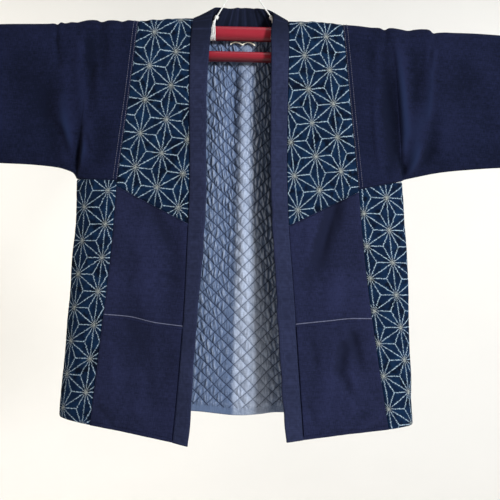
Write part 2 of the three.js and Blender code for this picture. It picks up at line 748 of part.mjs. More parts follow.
function hangerLoop() {
  const face = (x, z) => backY(x, z) - BACK_CLOTH - SEAM - LINING - QUILT_RISE - SEAM - 1.5;
  const route = [
    { x: -20, z: -125 },
    { x: -18, z: -121.6 },
    { x: -10, z: -118.8 },
    { x: -2, z: -120.8 },
    { x: 3, z: -124.6 },
    { x: 6, z: -121.4 },
    { x: 13, z: -118.4 },
    { x: 21, z: -120.6 },
    { x: 27, z: -126 },
  ];
  return cord(route.map(({ x, z }) => [x, face(x, z), z]), 1.4, 20, 6);
}

// ---- Hanger: upper bar, lower rail, links between them, cord, knots and tassels ----

function roundedBar(top, halfHeight, halfDepth, halfLength, cells) {
  const sides = 12;
  const ends = [0.35, 0.75, 1];
  const reach = [0, 5, 14];
  const inner = range(cells + 1, (k) => ({ x: mix(-1, 1, k / cells) * (halfLength - reach[2]), size: 1 }));
  const start = [0, 1].map((k) => ({ x: -halfLength + reach[k], size: ends[k] }));
  const stations = [...start, ...inner, ...start.map(({ x, size }) => ({ x: -x, size })).reverse()];
  return rod(
    stations.map(({ x, size }) =>
      range(sides, (k) => {
        const angle = radians((360 * (k + 0.5)) / sides);
        const flat = (value) => Math.sign(value) * Math.abs(value) ** 0.8;
        const z = top(x) - halfHeight + size * halfHeight * flat(Math.sin(angle));
        return [x, size * halfDepth * flat(Math.cos(angle)), z];
      }),
    ),
  );
}

const barTop = (x) => read(BAR_TOP, 'x', 'z', Math.abs(x));

// The hanger's cord: from the bar, through a knot, over the hook and down again.
const CORD_BEND = 7; // radius of the cord's middle line over the hook
const KNOT_LEAN = 0.8; // a knot's share of its cord's lean above it, since the cord hangs straighter below
const CORD_FEET = [
  { foot: [-53, 0], knot: [-47.5, -76] },
  { foot: [61, 0], knot: [56.5, -74] },
];

function hangerCord() {
  const [left, right] = CORD_FEET;
  const top = -CORD_BEND + CORD_RADIUS;
  const bend = range(7, (k) => {
    const angle = radians(mix(148, 38, k / 6));
    return [CORD_BEND * Math.cos(angle), 0, top + CORD_BEND * Math.sin(angle)];
  });
  const foot = (leg) => [leg.foot[0], 0, barTop(leg.foot[0]) + SEAM + 0.2];
  const leg = (side) => {
    const [x, z] = side.knot;
    const end = side === left ? bend[0] : bend[6];
    return [foot(side), [x, 0, z], ...range(4, (k) => [mix(x, end[0], (k + 1) / 5), 0, mix(z, end[2], (k + 1) / 5)])];
  };
  return cord([...leg(left), ...bend, ...leg(right).reverse()], CORD_RADIUS, 44, 8);
}

function knot(leg) {
  const profile = [
    [2.4, -4.2],
    [3.5, -3.4],
    [4.4, -0.8],
    [4, 2.2],
    [2.4, 4.4],
    [2.4, -4.2],
  ].map(([radius, height]) => new THREE.Vector2(radius, height));
  const geometry = new THREE.LatheGeometry(profile, 12);
  geometry.rotateX(radians(90));
  const [x, z] = leg.knot;
  geometry.rotateY(Math.atan2(-x * KNOT_LEAN, -z));
  geometry.translate(x, 0, z);
  return geometry;
}

// Each tassel: strands fused in a head, with a stem up to its knot.
const TASSEL = { head: 3, stem: 0.8, strand: 0.55, columns: 7, layers: 2, depth: 1.6, spread: 5.2, length: 33 };

function manifold(geometry) {
  const plain = new THREE.BufferGeometry();
  plain.setAttribute('position', geometry.getAttribute('position').clone());
  if (geometry.index) plain.setIndex(geometry.index.clone());
  const { points, triangles } = merged(plain);
  return new wasm.Manifold(new wasm.Mesh({ numProp: 3, vertProperties: points, triVerts: triangles }));
}

function merged(geometry) {
  const position = geometry.getAttribute('position');
  const order = geometry.index ? Array.from(geometry.index.array) : range(position.count, (k) => k);
  const seen = new Map();
  const points = [];
  const place = order.map((k) => {
    const at = [position.getX(k), position.getY(k), position.getZ(k)];
    const key = at.map((value) => Math.round(value * 1e4)).join();
    if (!seen.has(key)) {
      seen.set(key, points.length / 3);
      points.push(...at);
    }
    return seen.get(key);
  });
  const triangles = [];
  for (let k = 0; k < place.length; k += 3) {
    const [a, b, c] = place.slice(k, k + 3);
    if (a !== b && b !== c && a !== c) triangles.push(a, b, c);
  }
  return { points: Float32Array.from(points), triangles: Uint32Array.from(triangles) };
}

function prism(from, to, radius, sides, taper) {
  const rings = [from, to].map((centre, end) =>
    range(sides, (k) => {
      const angle = (2 * Math.PI * (k + 0.25)) / sides;
      const size = radius * (end ? taper : 1);
      return [centre[0] + size * Math.cos(angle), centre[1] + size * Math.sin(angle), centre[2]];
    }),
  );
  return rod(rings);
}

function tassel(leg) {
  const [x, z] = leg.knot;
  const side = Math.sign(x);
  const head = [x + side * 4, -8, z - 11.5];
  const ball = new THREE.SphereGeometry(TASSEL.head, 10, 7);
  ball.translate(...head);
  const stem = prism([x + side * 1.2, -5.5, z - 2], [head[0], head[1], head[2] + 1], TASSEL.stem, 5, 1);
  let joined = manifold(ball).add(manifold(stem));
  for (let k = 0; k < TASSEL.columns; k += 1) {
    for (let layer = 0; layer < TASSEL.layers; layer += 1) {
      const fan = mix(-1, 1, k / (TASSEL.columns - 1));
      const deep = (layer - 0.5) * TASSEL.depth;
      const end = [
        head[0] + side * 3 + fan * TASSEL.spread,
        head[1] - 1.9 + deep,
        head[2] - TASSEL.length - 1.5 * Math.cos(fan * 2 + layer),
      ];
      const root = [head[0] + fan * 1.9, head[1] - 0.9 + deep * 0.6, head[2] - 0.6];
      joined = joined.add(manifold(prism(root, end, TASSEL.strand, 3, 0.9)));
    }
  }
  const mesh = joined.getMesh();
  const geometry = new THREE.BufferGeometry();
  geometry.setAttribute('position', new THREE.BufferAttribute(Float32Array.from(mesh.vertProperties), 3));
  geometry.setIndex(Array.from(mesh.triVerts));
  return geometry;
}

// A link: a closed loop of cord round bar and rail.
function railLink(x) {
  const barMiddle = barTop(x) - BAR.halfHeight;
  const railMiddle = RAIL.top - RAIL.radius;
  const clear = SEAM + 0.2 + LINK_RADIUS;
  const arc = (z, halfWidth, height, from, to) =>
    range(9, (k) => {
      const angle = radians(mix(from, to, k / 8));
      return [x, (halfWidth + clear) * Math.cos(angle), z + (height + clear) * Math.sin(angle)];
    });
  const route = [
    ...arc(barMiddle + 4, BAR.halfDepth + 0.6, BAR.halfHeight - 3.4, 0, 180),
    ...arc(railMiddle, RAIL.radius + 0.3, RAIL.radius + 0.3, 180, 360),
  ];
  const sides = 6;
  const curve = new THREE.CatmullRomCurve3(route.map((p) => new THREE.Vector3(...p)), true, 'centripetal');
  const steps = 26;
  const rings = range(steps, (j) => {
    const at = curve.getPoint(j / steps);
    const along = curve.getTangent(j / steps);
    const sideways = new THREE.Vector3(1, 0, 0);
    const outward = new THREE.Vector3().crossVectors(sideways, along).normalize();
    return range(sides, (k) => {
      const angle = (2 * Math.PI * k) / sides;
      return at
        .clone()
        .addScaledVector(sideways, LINK_RADIUS * Math.cos(angle))
        .addScaledVector(outward, LINK_RADIUS * Math.sin(angle))
        .toArray();
    });
  });
  const points = rings.flat();
  const triangles = [];
  for (let j = 0; j < steps; j += 1) {
    for (let k = 0; k < sides; k += 1) {
      const [a, b] = [j * sides + k, j * sides + ((k + 1) % sides)];
      const [c, d] = [((j + 1) % steps) * sides + ((k + 1) % sides), ((j + 1) % steps) * sides + k];
      triangles.push([a, b, c], [a, c, d]);
    }
  }
  return body(points, triangles);
}

// ---- Materials and the object ----

const material = (color, roughness, metalness = 0) =>
  new THREE.MeshStandardMaterial({ color, roughness, metalness });
const navy = material(0x23253f, 0.9);
const navyCollar = material(0x26284a, 0.9);
const hempLeaf = material(0x1b3152, 0.92);
const quilted = material(0x8d9fbf, 0.9);
const lilac = material(0x8f8bb0, 0.8);
const cream = material(0xe6d9bb, 0.85);
const lacquer = material(0xa02c3c, 0.28);
const white = material(0xf2f1ec, 0.85);

const jacket = new THREE.Group();
jacket.name = 'quilted_jacket';

function add(name, geometry, finish) {
  const mesh = new THREE.Mesh(geometry, finish);
  mesh.name = name;
  jacket.add(mesh);
}

add('back', back(), navy);
add('back_lining', backLining(), quilted);
for (const side of [LEFT, RIGHT]) {
  add(`yoke_${side.name}`, wall(...grids(yokeRows(side), CLOTH)), hempLeaf);
  add(`front_${side.name}`, wall(...grids(frontRows(side), CLOTH)), navy);
  add(`side_panel_${side.name}`, sidePanel(side), hempLeaf);
  add(`sleeve_${side.name}`, sleeve(side), navy);
  add(`pocket_${side.name}`, pocket(side), navy);
  add(`pocket_piping_${side.name}`, piping(side), lilac);
}
add('collar', collar(), navyCollar);
add('hanger_loop', hangerLoop(), cream);
add('hanger_bar', roundedBar(barTop, BAR.halfHeight, BAR.halfDepth, BAR.halfLength, 16), lacquer);
add('hanger_rail', roundedBar(() => RAIL.top, RAIL.radius, RAIL.radius, RAIL.halfLength, 4), lacquer);
add('hanger_cord', hangerCord(), white);
CORD_FEET.forEach((leg, k) => {
  const name = k === 0 ? 'left' : 'right';
  add(`cord_knot_${name}`, knot(leg), white);
  add(`tassel_${name}`, tassel(leg), white);
  add(`rail_link_${name}`, railLink(k === 0 ? -LINK_X : LINK_X), white);
});

export default jacket;
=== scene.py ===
"""A quilted cotton jacket, open down the front, on a lacquered two-bar hanger.

The front faces -Y, "left" is the -X side, and the origin is the hang point under the top of the cord.
Sizes in this file are millimetres until a mesh is made, and metres from there on.
"""

from types import SimpleNamespace

import bpy
import numpy as np
from bpy.props import FloatProperty, FloatVectorProperty, PointerProperty
from bpy.types import Operator, Panel, PropertyGroup
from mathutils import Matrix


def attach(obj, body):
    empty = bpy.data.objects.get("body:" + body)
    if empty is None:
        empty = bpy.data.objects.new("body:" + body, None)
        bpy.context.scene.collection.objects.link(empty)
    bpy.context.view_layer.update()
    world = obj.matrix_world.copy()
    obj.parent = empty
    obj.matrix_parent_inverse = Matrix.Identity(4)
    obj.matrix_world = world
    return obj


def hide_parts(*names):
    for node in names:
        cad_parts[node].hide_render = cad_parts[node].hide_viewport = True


bl_info = {
    "name": "Quilted Jacket on a Hanger",
    "version": (1, 0, 0),
    "blender": (4, 5, 0),
    "location": "3D View > Sidebar > Jacket",
    "description": "A cotton jacket with a hemp-leaf yoke and a quilted lining, on a lacquered hanger",
    "category": "Add Mesh",
}

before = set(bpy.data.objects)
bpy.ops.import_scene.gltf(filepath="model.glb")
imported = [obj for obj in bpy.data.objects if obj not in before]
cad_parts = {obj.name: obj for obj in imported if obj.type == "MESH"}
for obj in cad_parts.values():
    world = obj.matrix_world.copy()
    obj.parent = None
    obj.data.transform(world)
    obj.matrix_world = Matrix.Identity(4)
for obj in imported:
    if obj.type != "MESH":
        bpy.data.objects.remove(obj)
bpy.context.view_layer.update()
BODY = "root"
MM = 0.001

# ---- Driving sizes ----

CLOTH = 3.4  # wadded and lined cotton
BACK_CLOTH = 2.2  # the back's outer cotton and wadding, without its lining
LINING = 1.5  # the lining at a quilting seam
SEAM = 0.3  # the gap that two sewn pieces keep
COLLAR_TUCK = 1.2  # how far the fronts reach into the collar band's seam
POCKET_CLOTH = 1.9
PIPING_WIDTH = 2.0
PIPING_STANDS = 1.25  # the height of its half round, which starts this far down in the cloth
PIPING_SUNK = 0.6
PIPING_UNDER = 1.1  # and its underside below the cloth's face
QUILT_STEP = 12.65  # half a diamond's diagonal
LINING_HALF = 15 * QUILT_STEP
LINING_TOP = -106
LINING_LINES = (233, 345)  # the lines of the lining's grid, across and down
LINING_INNER_STEP = 4  # its inner face keeps every fourth of them

FRONT_ROLL = 15  # radius of the cloth's bend over the bar, on the front half
BACK_ROLL = 18  # and on the back half
CUFF_X = 680  # from the middle to the end of a sleeve
SHOULDER_Z = -84  # the crest's height at the armhole, near enough to read the levels by
NECK_X = 91  # from the middle to the collar's seam at the shoulder
NECK_DROP = 86  # how far the back neckline has turned down over the roll at the middle, in degrees

BAR_HALF_HEIGHT = 14
BAR_HALF_DEPTH = 8
BAR_HALF_LENGTH = 620
RAIL_TOP = -140
RAIL_RADIUS = 9.9
RAIL_HALF_LENGTH = 330
CORD_RADIUS = 1.3
LINK_RADIUS = 1.1
LINK_X = 140

GRID = 3.2  # the spacing of a cloth grid's lines
EDGE_LINES = (0.6, 1.6, 3.0)  # lines closer to a cut edge, where the cloth rolls in
EDGE_DIP = 1.0  # how far the cloth's face turns in at a seam
EDGE_REACH = 1.5


def table(names, *rows):
    """A short table, one row for each height or station, as arrays by the columns' names."""
    columns = np.array(rows, dtype=float).T
    return dict(zip(names.split(), columns))


# Heights, with the distance from the middle of the collar's free edge and seam, of the seam between the
# front and the sleeve or side panel, and of the side's outermost edge.
LEFT_LEVELS = table(
    "z free collar side edge",
    (-80, 54, 92, 193, 300),
    (-140, 59, 94.5, 198.4, 301),
    (-235, 61, 94, 207.8, 302),
    (-330, 60, 90.8, 218.6, 304),
    (-395, 58.4, 89.4, 225.9, 305.5),
    (-460, 58.6, 89.8, 229.6, 305.5),
    (-530, 61.8, 91.1, 234.4, 309.5),
    (-610, 67.0, 92.8, 241.8, 314.6),
    (-705, 72.2, 97.1, 250.7, 320.1),
    (-800, 75.7, 102.9, 260.1, 326.4),
    (-885, 79.6, 109.6, 268.2, 330.5),
)
RIGHT_LEVELS = table(
    "z free collar side edge",
    (-80, 56, 90, 190.6, 305),
    (-140, 57.4, 90.7, 197.2, 307),
    (-235, 59, 90.8, 207.9, 309),
    (-330, 59.8, 91.4, 219.0, 311.5),
    (-395, 62.1, 93.3, 226.8, 313.6),
    (-460, 65.9, 97.0, 233.2, 319.2),
    (-530, 71.2, 103.1, 241.4, 325.4),
    (-610, 77.5, 110.7, 252.4, 330.3),
    (-705, 84.8, 119.0, 267.8, 334.4),
    (-800, 93.1, 127.6, 284.2, 339.4),
    (-885, 103.5, 135.4, 299.4, 343.8),
)
# How far the front stands before the bar's plane at the collar and at the side, and the back behind it.
DEPTHS = table(
    "z collar side back back_side",
    (-95, 15, 15, 18, 18),
    (-140, 20, 17, 20.5, 19),
    (-235, 24, 19, 22, 20),
    (-395, 28, 21, 23.5, 21.5),
    (-530, 33, 23, 25, 23),
    (-705, 39, 25, 27, 25),
    (-885, 45.5, 27, 29, 27),
)
# The top line of shoulder and sleeve, and the sleeve's lower fold, by distance from the middle.
LEFT_CREST = table(
    "x z",
    (0, -80),
    (98, -79.4),
    (145, -82.8),
    (198, -86.6),
    (268, -88.2),
    (318, -91.6),
    (350, -95),
    (458, -98.4),
    (680, -112),
)
RIGHT_CREST = table(
    "x z",
    (0, -80),
    (92, -81),
    (145, -81.9),
    (190, -84.6),
    (254, -89.8),
    (290, -91.8),
    (340, -92),
    (365, -94.8),
    (455, -96.4),
    (680, -110),
)
LEFT_UNDERARM = table(
    "x z",
    (305.5, -389),
    (311, -380.5),
    (320, -375.4),
    (344, -368.6),
    (395, -364),
    (452, -362.4),
    (560, -358),
    (680, -352),
)
RIGHT_UNDERARM = table(
    "x z",
    (313.6, -379.6),
    (318, -377.2),
    (328, -374.6),
    (384, -362.4),
    (440, -355.4),
    (498, -350.4),
    (590, -346),
    (680, -342),
)
# A sleeve's section below the roll, by the share of the way down: the angle of its surface's direction from
# straight up where it is a closed tube, and half its thickness where it is open to the side panel.
SLEEVE_SECTION = table(
    "down turn open",
    (0, 90, 15),
    (0.15, 90, 16.0),
    (0.34, 90, 17.4),
    (0.52, 92, 18.8),
    (0.68, 96, 19.8),
    (0.81, 101, 20.5),
    (0.91, 113, 20.8),
    (0.97, 138, 21.0),
    (1, 180, 21.0),
)
SLEEVE_HALF_THICK = 16
OVER_BAR = 12.6  # the least distance of a sleeve's outer face from the bar's plane, beside the bar
OVER_RAIL = 14.4  # and beside the rail
BELOW_BAR = 126  # how far down the sleeve keeps clear of the bar, and begins to close
BELOW_RAIL = 164

# Soft folds: each runs from (x, z) to (to_x, to_z), x from the middle outwards, bowed towards the middle
# by bend, and stands proud of the cloth (plus) or dips into it (minus). With a lean it is gentle on the
# side of the middle and steep on the other.
FOLD = "x z to_x to_z width rise bend lean"
LEFT_SLEEVE_FOLDS = table(
    FOLD,
    (307, -372, 300, -270, 9, -5, 0, 0),
    (292, -366, 282, -190, 17, 4.5, 0, 0),
    (322, -364, 334, -230, 15, 5, 0, 0),
    (345, -350, 372, -215, 18, -3.5, 0, 0),
    (262, -378, 258, -260, 16, -3, 0, 0),
    (347, -104, 345, -140, 10, -4, 0, 0),
    (347, -96, 344, -150, 4.5, -4, 0, 0.3),
    (345, -140, 341, -190, 7, -2, 0, 0.2),
    (288, -100, 283, -300, 11, -6.5, 4, 0.2),
    (305, -108, 301, -255, 11, 3.4, 0, 0),
    (306, -380, 299, -312, 4, -6, 0, 0),
    (297, -374, 288, -316, 6, 3, 0, 0),
    (288, -306, 276, -344, 5, -3, 0, 0),
    (346, -284, 316, -363, 9, -4, 3, 0),
    (330, -282, 309, -352, 8, 2.8, 2, 0),
    (330, -176, 328, -252, 14, 2.2, 0, 0),
    (238, -110, 233, -340, 15, 2, 3, 0),
    (262, -100, 256, -210, 9, -3.4, 0, 0.2),
    (236, -260, 246, -384, 9, -2, 0, 0),
    (398, -116, 392, -330, 30, -1.6, 8, 0),
    (470, -120, 462, -340, 34, 1.5, -8, 0),
    (566, -130, 556, -330, 30, -1.4, 6, 0),
    (620, -150, 634, -330, 26, 1.2, 0, 0),
)
RIGHT_SLEEVE_FOLDS = table(
    FOLD,
    (315, -368, 320, -290, 9, -5.5, 0, 0),
    (316, -366, 302, -150, 12, 4.5, 0, 0),
    (299, -366, 264, -130, 15, -8, 0, 0),
    (264, -376, 250, -220, 13, 3.5, 0, 0),
    (330, -358, 340, -230, 15, 5, 0, 0),
    (352, -345, 372, -250, 15, -4, 0, 0),
    (288, -95, 316, -368, 9, 4.6, -3, -0.3),
    (362, -96, 349, -320, 9, 3.6, -3, 0.3),
    (327, -112, 328, -240, 11, -4, 0, 0.3),
    (313, -350, 310, -382, 3.6, -6.5, 0, 0),
    (301, -330, 311, -374, 5, -4, 0, 0),
    (276, -352, 292, -384, 5, -3, 0, 0),
    (319, -371, 352, -296, 7, 3, 0, 0),
    (334, -364, 374, -308, 8, -2.6, 0, 0),
    (246, -222, 266, -382, 6, -3.6, 5, 0.5),
    (235, -104, 247, -205, 9, -3, 0, 0),
    (257, -110, 262, -235, 9, 2.4, 0, 0),
    (361, -96, 355, -165, 5, -4, 0, 0),
    (222, -120, 226, -350, 12, 2.2, 0, 0),
    (340, -120, 334, -210, 9, -3, 0, 0),
    (400, -130, 390, -330, 26, 1.8, 6, 0),
    (452, -116, 446, -330, 32, -1.6, -8, 0),
    (532, -124, 520, -330, 34, 1.6, 8, 0),
    (604, -140, 598, -326, 28, -1.3, 0, 0),
)
LEFT_FRONT_FOLDS = table(
    FOLD,
    (182, -470, 184, -640, 24, 3, 0, 0),
    (116, -440, 112, -640, 15, -3.5, 0, 0),
    (196, -520, 190, -760, 22, -3, 0, 0),
    (172, -422, 123, -526, 12, -4.5, 3, 0.2),
    (142, -563, 108, -574, 4.5, -3.4, 0, 0),
    (146, -552, 112, -562, 6, 1.3, 0, 0),
    (128, -600, 122, -780, 14, -1.6, 0, 0),
    (214, -430, 224, -560, 13, 1.6, 0, 0),
    (232, -690, 214, -800, 12, 2, 0, 0),
    (170, -700, 150, -830, 12, -2, 5, 0),
    (256, -808, 218, -850, 6, -3.6, 0, 0),
)
RIGHT_FRONT_FOLDS = table(
    FOLD,
    (194, -402, 130, -580, 21, -12, 0, -0.35),
    (214, -396, 166, -560, 12, 2.5, 0, 0),
    (140, -450, 132, -560, 16, 3, 0, 0),
    (196, -540, 180, -640, 16, 3, 0, 0),
    (252, -588, 214, -600, 5, -2.6, 0, 0),
    (218, -658, 238, -736, 9, -8, 0, 0),
    (209, -680, 192, -748, 12, -8, 0, 0),
    (194, -734, 230, -796, 9, -5, 0, 0),
    (134, -786, 159, -846, 5, -4, 0, 0),
    (230, -846, 280, -816, 8, 3.4, 0, 0),
    (136, -668, 160, -740, 6, -2.6, 0, 0),
    (228, -740, 214, -840, 14, 3, 0, 0),
    (188, -420, 158, -530, 5, -2.6, 0, 0),
    (186, -690, 174, -820, 15, 2, 4, 0),
    (150, -680, 142, -830, 13, -2.2, 0, 0),
    (124, -500, 132, -640, 13, -1.8, 0, 0),
)
# On the back x runs from left to right.
BACK_FOLDS = table(
    FOLD,
    (-48, -220, -52, -800, 20, -3.5, 0, 0),
    (-112, -330, -122, -860, 28, 4.5, 0, 0),
    (150, -300, 164, -820, 26, -4, 0, 0),
    (-10, -20, -13, -330, 8, 5.5, 0, 0),
    (9, -20, 6, -430, 17, -7.5, 0, -0.4),
    (9, -300, 16, -640, 22, -7.5, 0, -0.4),
    (20, -440, 44, -960, 34, -8, 0, -0.3),
    (60, -440, 84, -960, 18, 7, 0, 0.35),
    (66, -20, 58, -440, 17, 6, 0, 0),
    (72, -330, 84, -480, 18, 4, 0, 0),
    (-30, -20, -34, -430, 9, -2, 0, 0),
    (-62, -60, -58, -520, 10, 2.6, 0, 0),
    (-84, -300, -96, -760, 12, -2.4, 0, 0),
    (190, -330, 216, -800, 18, 3, 0, 0),
    (-168, -300, -186, -800, 20, -3, 0, 0),
    (120, -160, 128, -420, 14, 2.4, 0, 0),
)
# The middle line and half the width of the smooth flank of the lining's middle fold.
LINING_FLANK = table(
    "z x half",
    (-110, 8, 14),
    (-250, 7, 14),
    (-334, 8, 15),
    (-455, 10, 21),
    (-545, 15, 30),
    (-693, 14, 44),
    (-830, 17, 50),
)
# Where the sleeve's cloth is bunched along the bar: how far each little fold stands over the shoulder's
# line.
LEFT_BUNCHES = table(
    "x rise",
    (196, 0),
    (206, 1),
    (214, 1.8),
    (225, -1),
    (235, 0.9),
    (251, 1.2),
    (264.5, -1.9),
    (274, 1.6),
    (290, 2.3),
    (302, 0.6),
    (310, -0.9),
    (321, 0.4),
    (334, -0.6),
    (341, 1.9),
    (347.5, -1.8),
    (354, 0.4),
    (366, 0),
)
RIGHT_BUNCHES = table(
    "x rise",
    (196, 0),
    (222, 0.7),
    (246, 0.2),
    (262, 0.9),
    (271.5, -2),
    (279, 1.8),
    (287, 2.6),
    (301, 0.9),
    (316, -1.6),
    (329, 0.7),
    (345, 2.5),
    (356, 2.9),
    (363.5, -2.4),
    (372, -0.9),
    (388, 0.3),
    (400, 0),
)
BACK_HEM = table(
    "x z",
    (-330, -838.4),
    (-200, -834),
    (-80, -830),
    (0, -836.5),
    (50, -832.5),
    (110, -828),
    (220, -834),
    (345, -838.7),
)
# The collar round the neck, from the left shoulder to the right: its seam and its free edge.
NECK = table(
    "seam_x seam_y seam_z free_x free_y free_z",
    (-92, -13, -88, -54.5, -17, -83),
    (-90.8, -3.5, -79.6, -53, -10, -67),
    (-84, 10.5, -83.5, -50, 1, -57),
    (-70, 16.8, -89.4, -41, 11, -53.5),
    (-40, 20.6, -95.6, -24, 17, -52.6),
    (0, 21.6, -98.4, 0, 19, -52.4),
    (40, 20.6, -95.6, 27, 17, -51.4),
    (70, 16.8, -89.6, 47, 11, -55),
    (83.5, 10.5, -84, 56, 1, -61.5),
    (88.8, -3.5, -81.2, 59.5, -10, -71),
    (89.6, -13, -89.5, 58, -17, -86),
)
BAR_TOP = table(
    "x z",
    (0, -92.4),
    (200, -92.8),
    (254, -94.8),
    (350, -100),
    (458, -103.6),
    (620, -112.6),
)
# Where a star of the hemp-leaf cloth lies on each panel, how far its columns lean outwards going down, and
# its repeat along and across the columns. On a side panel x is measured round the cloth from its front
# seam.
HEMP = {
    "yoke_left": SimpleNamespace(x=162.3, z=-110.4, lean=6.5, along=64.3, across=45),
    "yoke_right": SimpleNamespace(x=160, z=-112.2, lean=7.4, along=63.7, across=43.9),
    "side_left": SimpleNamespace(x=15, z=-410.9, lean=0, along=62.9, across=43.5),
    "side_right": SimpleNamespace(x=52, z=-412.5, lean=0, along=60.6, across=46),
}

LEFT = SimpleNamespace(
    name="left",
    sign=-1,
    seed=1,
    levels=LEFT_LEVELS,
    crest=LEFT_CREST,
    underarm=LEFT_UNDERARM,
    panel_top=(-391, -389.5),
    yoke_end=(-470.2, -402),
    pocket_top=table("across z", (0, -661.2), (0.36, -655.8), (0.67, -646.8), (1, -643.4)),
    hem_free=-879,
    hem_collar=-873.4,
    hem_side=-849.1,
    hem_edge=-838.4,
    sleeve_folds=LEFT_SLEEVE_FOLDS,
    bunches=LEFT_BUNCHES,
    front_folds=LEFT_FRONT_FOLDS,
)
RIGHT = SimpleNamespace(
    name="right",
    sign=1,
    seed=2,
    levels=RIGHT_LEVELS,
    crest=RIGHT_CREST,
    underarm=RIGHT_UNDERARM,
    panel_top=(-398, -380),
    yoke_end=(-469.7, -403),
    pocket_top=table("across z", (0, -652.7), (0.4, -646.2), (0.7, -641.3), (1, -640.2)),
    hem_free=-867.5,
    hem_collar=-863.3,
    hem_side=-844.8,
    hem_edge=-838.7,
    sleeve_folds=RIGHT_SLEEVE_FOLDS,
    bunches=RIGHT_BUNCHES,
    front_folds=RIGHT_FRONT_FOLDS,
)
SIDES = (LEFT, RIGHT)


# ---- Mathematics, all on whole arrays ----


def mix(a, b, share):
    """a where the share is 0 and b where it is 1, straight between."""
    return a + (b - a) * share


def ease(value, start, end):
    """0 before start and 1 after end, smooth between."""
    share = np.clip((value - start) / (end - start), 0, 1)
    return share * share * (3 - 2 * share)


def above(value, least):
    """The value, kept above the least with a rounded corner a millimetre wide."""
    return (value + least + np.sqrt((value - least) ** 2 + 1)) / 2


def through(rows, key, column, at):
    """A smooth curve through a table's rows: cubic pieces whose slope at a row is that between its two
    neighbours, level beyond the ends."""
    xs, ys = rows[key], rows[column]
    if xs[0] > xs[-1]:
        xs, ys = xs[::-1], ys[::-1]
    at = np.clip(at, xs[0], xs[-1])
    order = np.arange(len(xs))
    before, after = np.maximum(order - 1, 0), np.minimum(order + 1, len(xs) - 1)
    slopes = (ys[after] - ys[before]) / (xs[after] - xs[before])
    k = np.clip(np.searchsorted(xs, at, side="right") - 1, 0, len(xs) - 2)
    step = xs[k + 1] - xs[k]
    rise = ys[k + 1] - ys[k]
    t = (at - xs[k]) / step
    a = slopes[k] * step - rise
    b = rise - slopes[k + 1] * step
    return ys[k] + t * rise + t * (1 - t) * ((1 - t) * a + t * b)


def points(x, y, z):
    """Places from their three parts, each a number or an array that fits the others."""
    return np.stack(np.broadcast_arrays(x, y, z), axis=-1).astype(float)


def unit(vectors):
    """Vectors divided by their lengths."""
    return vectors / np.maximum(np.linalg.norm(vectors, axis=-1, keepdims=True), 1e-12)


def fold_rise(folds, x, z):
    """The sum of the folds at (x, z): each is a bell across its line, bowed sideways in its middle, wider
    on the side it leans to, that fades in over its first part and out over its last."""
    x, z = np.broadcast_arrays(x, z)
    dx, dz = folds["to_x"] - folds["x"], folds["to_z"] - folds["z"]
    length = np.hypot(dx, dz)
    from_x, from_z = x[..., None] - folds["x"], z[..., None] - folds["z"]
    along = (from_x * dx + from_z * dz) / length
    share = along / length
    away = (from_x * dz - from_z * dx) / length - folds["bend"] * 4 * share * (1 - share)
    width = folds["width"] * (1 + folds["lean"] * np.tanh(away / folds["width"] * 3))
    fade = ease(along, -0.15 * length, 0.25 * length) * (1 - ease(along, 0.6 * length, 1.15 * length))
    return (folds["rise"] * fade * np.exp(-((away / width) ** 2))).sum(-1)


def ripple(x, z, seed, wave, tall=1.0, count=14, spread=np.pi / 2):
    """Soft unevenness between about -1 and 1: a sum of plane waves in seeded directions within spread of
    the x axis, their lengths from 0.7 to 1.6 times wave, stretched by tall along z."""
    random = np.random.default_rng(seed)
    angle = random.uniform(-spread, spread, count)
    number = 2 * np.pi / (wave * random.uniform(0.7, 1.6, count))
    phase = random.uniform(0, 2 * np.pi, count)
    x, z = np.broadcast_arrays(x, z)
    along = x[..., None] * np.cos(angle) + z[..., None] / tall * np.sin(angle)
    return np.cos(along * number + phase).sum(-1) / np.sqrt(count)


def stations(length, step=GRID):
    """Shares from 0 to 1 along a length: an even number of steps, with closer lines at both edges."""
    edge = np.array((0, *EDGE_LINES)) / length
    last = edge[-1]
    count = 2 * max(1, int(round((1 - 2 * last) * length / step / 2)))
    return np.concatenate([edge[:-1], np.linspace(last, 1 - last, count + 1), 1 - edge[-2::-1]])


def lengths(grid, axis):
    """Distance along one axis of a grid of points, from its first line."""
    steps = np.linalg.norm(np.diff(grid, axis=axis), axis=-1)
    start = np.zeros_like(np.take(steps, [0], axis=axis))
    return np.concatenate([start, np.cumsum(steps, axis=axis)], axis=axis)


def edge_distance(grid):
    """Distance of each point of a grid from the nearest of its four edges."""
    down, across = lengths(grid, 0), lengths(grid, 1)
    both = [down, down[-1:] - down, across, across[:, -1:] - across]
    return np.minimum.reduce(both)


def along_path(path, distance, at):
    """Points at distances along a path, straight between its own points."""
    return np.stack([np.interp(at, distance, path[:, axis]) for axis in range(3)], -1)


def along_curve(path, distance, at):
    """The same on a smooth curve through the path's points."""
    rows = {"at": distance, "x": path[:, 0], "y": path[:, 1], "z": path[:, 2]}
    return np.stack([through(rows, "at", axis, at) for axis in "xyz"], -1)


def circle(sides, start=0.0):
    """The angles of a ring's points. start is the first one's share of the angle between two."""
    return 2 * np.pi * (np.arange(sides) + start) / sides


def signed_power(wave, power):
    """A sine or cosine to a power, its sign kept: a power under 1 makes a round section squarer."""
    return np.sign(wave) * np.abs(wave) ** power


# ---- Meshes ----

PROUD_UNIT = 10  # a fold this high is 1 in the map of what stands proud


